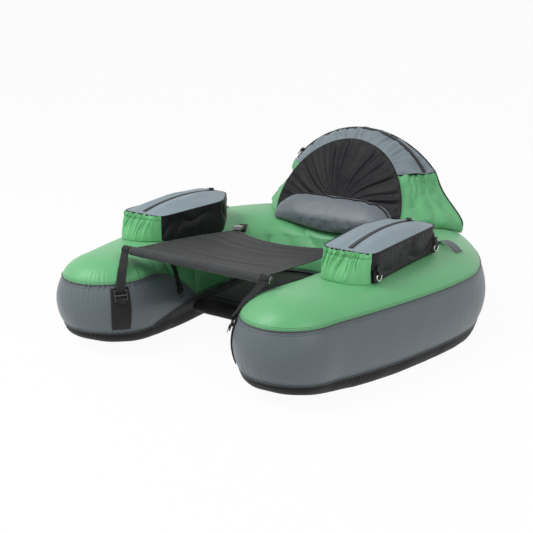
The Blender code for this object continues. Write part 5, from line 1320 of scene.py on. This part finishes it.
def tip_spot(angle, share):
    """Points of the skin round a tip, with the tip's outward direction there."""
    middle, out = tip_middle(np.asarray(angle, float))
    shares = np.broadcast_to(share, middle.shape[:-1])
    return hull_skin(middle, out, shares), np.concatenate((unit(out), 0 * out[..., :1]), -1)


def tip_basis(share, lift):
    """Origin, across and normal direction on a tip's band, on the right side."""
    spot, out = tip_spot([math.pi - patch_angle], share)
    above, _ = tip_spot([math.pi - patch_angle], share - 0.01)
    across = unit(np.cross(z_way, out[0]))
    normal = unit(np.cross(across, above[0] - spot[0]))
    return spot[0] + normal * lift, across, normal


def widest(x, y, over):
    """Height that clears the hull under a strap's whole width."""
    runs = np.linspace(-0.5, 0.5, 5) * strap_wide
    return np.max([deck_height(x + over[..., 0] * run, y + over[..., 1] * run) for run in runs], 0)


def tip_panel():
    """Grid of the webbing patch on the right tip's band."""
    spread = patch_wide / 2 / (tip_radius + band_bulge)
    angle = np.linspace(math.pi - patch_angle + spread, math.pi - patch_angle - spread, 26)[:, None]
    share = top_part + band_part * np.linspace(patch_top, patch_foot, 44)[None]
    skin, out = tip_spot(angle + 0 * share, share)
    return skin + out * patch_lift


def lock_weave():
    """The strap's path through its ladder lock on the right tip, and the direction across it there."""
    lock_share = top_part + band_part * (upper_seam - lock_z) / (upper_seam - lower_seam)
    behind = lock_behind + patch_thick + strap_thick + 4 * clearance
    origin, across, normal = tip_basis(lock_share, behind + lock_thick / 2)
    slot = (lock_high - 3 * lock_bar) / 2
    clear = (lock_thick + strap_thick) / 2 + clearance
    near, far = lock_bar / 2 + weave_margin, lock_bar / 2 + slot - weave_margin
    path = ((lock_high / 2 + lock_bar, clear + clearance), (far, clear), (near, -clear), (-near, -clear),
            (-far, clear), (-lock_high / 2 - 2 * lock_bar, clear + clearance))
    return in_place(origin, across, normal, [(0, *spot) for spot in path]), across


def make_front_straps():
    """Patches on the tips and the straps that run from the bar, through the locks, to their tails."""
    patch = tip_panel()
    woven, across = lock_weave()
    turn = np.radians(np.arange(-50, 191, 20))
    ride = bar_radius + clearance + strap_thick / 2 + wrap_over
    wrap = xyz(strap_bar_x, bar_y + ride * np.cos(turn), bar_z + ride * np.sin(turn))
    run = np.linspace(0, 1, 9)[1:-1, None]
    over = unit(x_way * (1 - run) + across * run)
    middle = wrap[-1] + (woven[0] - wrap[-1]) * run
    middle[:, 2] = np.maximum(middle[:, 2], widest(middle[:, 0], middle[:, 1], over) + strap_over)
    line = np.concatenate((wrap, middle, woven))
    wide = np.concatenate((np.tile(x_way, (len(wrap), 1)), over, np.tile(across, (len(woven), 1))))
    for word, side in hands:
        piece = grid_piece("tip_panel_" + word, mirrored(patch, side), wall=patch_thick, out=True)
        dress(piece, black_web, "hull", ("tip_patch_" + word,))
        flip = np.array((side, 1, 1))
        ribbon("front_webbing_" + word, "front_strap_" + word, line * flip, wide * flip, fine=6)


make_front_straps()

# ---------------------------------------------------------------------------------------------------
# Anchors, handles, ring tabs and D-rings. Each tab is a short loop of webbing folded round the straight
# bar of a nickel plated ring, which hangs and swings in it.
# ---------------------------------------------------------------------------------------------------
buckle_x, buckle_y, buckle_z, buckle_pitch, buckle_heading = 0.1945, -0.0613, 0.2524, 0.064, math.radians(27)
housing_long, anchor_dip, anchor_bend, anchor_rests = 0.0300, 0.004, 0.012, (0.075, 0.092, 0.115)
handle_inner, handle_outer, handle_rise = (0.385, 0.135), (0.470, 0.105), 0.012
anchor_over, handle_over, wall_over = 0.0026, 0.0006, 0.0012
tab_wide, tab_long, tab_thick, tab_out, eye_radius = 0.0160, 0.0200, 0.0012, 0.0060, 0.0026
ring_half, ring_drop, ring_wire = 0.0125, 0.0044, 0.0017
ring_inset, ring_raise, seat_strap_y, seat_ring_z, wall_lean = 0.0210, 0.0260, -0.3600, 0.1280, 0.8
seat_ring_out, strap_top_shares, strap_wall_shares = 0.0024, (0.75, 0.99), (0.04, 0.30)
ring_patch, ring_patch_back, ring_patch_dome, ring_patch_wall = 0.0185, 0.0052, 0.0004, 0.0016


def make_anchor(word, side):
    """Strap from a buckle's housing down to the hull, sewn on at its end."""
    heading = unit(np.array((math.sin(buckle_heading), math.cos(buckle_heading), -buckle_pitch)))
    across = unit(np.cross(z_way, heading))
    far = np.array((housing_long + clearance, housing_long + anchor_bend, *anchor_rests))
    points = np.array((buckle_x, buckle_y, buckle_z)) + heading * far[:, None]
    points[1] -= np.cross(heading, across) * anchor_dip
    points[2:, 2] = widest(points[2:, 0], points[2:, 1], across) + anchor_over
    flip = np.array((side, 1, 1))
    ribbon("anchor_webbing_" + word, "anchor_strap_" + word, points * flip, across * flip)


def make_handle(word, side):
    """Grey carry handle behind a gear bag, arched a little off the hull."""
    run = np.linspace(0, 1, 9)
    inner, outer = np.array(handle_inner), np.array(handle_outer)
    along = unit(outer - inner)
    across = np.array((-along[1], along[0], 0))
    flat = inner + (outer - inner) * run[:, None]
    foot = widest(flat[:, 0], flat[:, 1], across) + strap_thick / 2 + clearance + handle_over
    line = raised(flat, foot + handle_rise * np.sin(math.pi * run)) * (side, 1, 1)
    ribbon("carry_webbing_" + word, "carry_handle_" + word, line, across * (side, 1, 1), web=grey_web)


def make_ring(body, origin, x_axis, z_axis, metal=nickel):
    """A D-ring: its straight bar along X, and half a circle that hangs below it."""
    turn = np.linspace(math.pi, 2 * math.pi, 48)
    bend = xyz(np.cos(turn) * ring_half, np.sin(turn) * ring_half - ring_drop, 0)
    bar = xyz(np.linspace(ring_half, -ring_half, 24), 0, 0)
    loop = np.concatenate((bend, bar[1:-1]))
    near = np.concatenate((loop[-3:], loop, loop[:3]))
    loop = sum(near[step:step + len(loop)] for step in range(7)) / 7
    loop = in_place(origin, x_axis, z_axis, np.concatenate((loop, loop[:1])))
    square = in_place((0, 0, 0), x_axis, z_axis, (0, 0, 1))
    piece = sweep(body + "_wire", loop, square, ring_wire, sides=10, closed=True)
    dress(piece, metal, body, (body,))


def make_ring_patch(name, origin, side):
    """Rounded leatherette patch on a bag's side, behind a ring and its tab."""
    part = np.sin(np.linspace(0, 1, 12) * math.pi / 2)[::-1, None]
    over, up = rounded(np.linspace(0, 2 * math.pi, 65)[None], 0.7)
    x = origin[0] * side - ring_patch_back + ring_patch_dome * (1 - part ** 4) + 0 * over
    y, z = over * ring_patch * part + origin[1], up * ring_patch * part + origin[2] - ring_drop
    points = xyz(x, y, np.maximum(z, clear_height(x, y, y)))
    piece = grid_piece(name, mirrored(points, side), wall=ring_patch_wall)
    dress(piece, black_web, "hull")


def tab_path(lead=()):
    """Middle line of a folded tab in its ring's frame, or the foot of a longer strap that leads to it."""
    ply, top = eye_radius + tab_thick / 2, eye_radius + tab_long
    close = tab_thick + clearance - ply
    path = [] if len(lead) else [(0, top, -ply), (0, top / 2, -ply)]
    path += [(0, ply * math.sin(turn), ply * math.cos(turn)) for turn in np.radians(np.arange(180, 361, 30))]
    return path + [(0, top / 3, ply - clearance), (0, top / 2, close), (0, top, close)]


def make_bag_rings(word, side):
    """Ring, tab and patch at both outer corners of a bag."""
    out = bag_outer + tab_out + clearance + tab_thick + eye_radius
    for end, y in (("front", bag_front + ring_inset), ("rear", bag_rear - ring_inset)):
        where = end + "_" + word
        low = float(deck_height(np.array([bag_outer]), np.array([y]))[0])
        origin = (out * side, y, low + ring_raise)
        points = in_place(origin, (0, side, 0), (side, 0, 0), tab_path())
        ribbon("ring_tab_" + where, "bag_tab_" + where, points, (0, 1, 0), tab_wide, tab_thick, 5)
        make_ring("bag_ring_" + where, origin, (0, side, 0), (side, 0, 0))
        make_ring_patch("ring_patch_" + where, origin, side)


def make_seat_strap(word, side):
    """Strap down the bay's wall from the top cover, its foot folded round a ring."""
    middle, arm = arm_middle(np.array([seat_strap_y]))
    shares = np.concatenate((top_part * np.linspace(*strap_top_shares, 6),
                             top_part + band_part * np.linspace(*strap_wall_shares, 6)))
    wall = hull_skin(np.repeat(middle, 12, 0), np.repeat(-arm, 12, 0), shares)
    wall += np.array((-1.0, 0.0, wall_lean)) * (tab_thick / 2 + wall_over)
    face = float(inner_seam(seat_strap_y)) - band_bulge - seat_ring_out - strap_thick
    origin = ((face - eye_radius - tab_thick) * side, seat_strap_y, seat_ring_z)
    foot = in_place(origin, (0, -side, 0), (-side, 0, 0), tab_path(wall))
    points = np.concatenate((wall * (side, 1, 1), foot))
    ribbon("seat_webbing_" + word, "seat_strap_" + word, points, (0, 1, 0), tab_wide, tab_thick, 5)
    make_ring("seat_ring_" + word, origin, (0, -side, 0), (-side, 0, 0), dark_nickel)


for word, side in hands:
    make_anchor(word, side)
    make_handle(word, side)
    make_bag_rings(word, side)
    make_seat_strap(word, side)
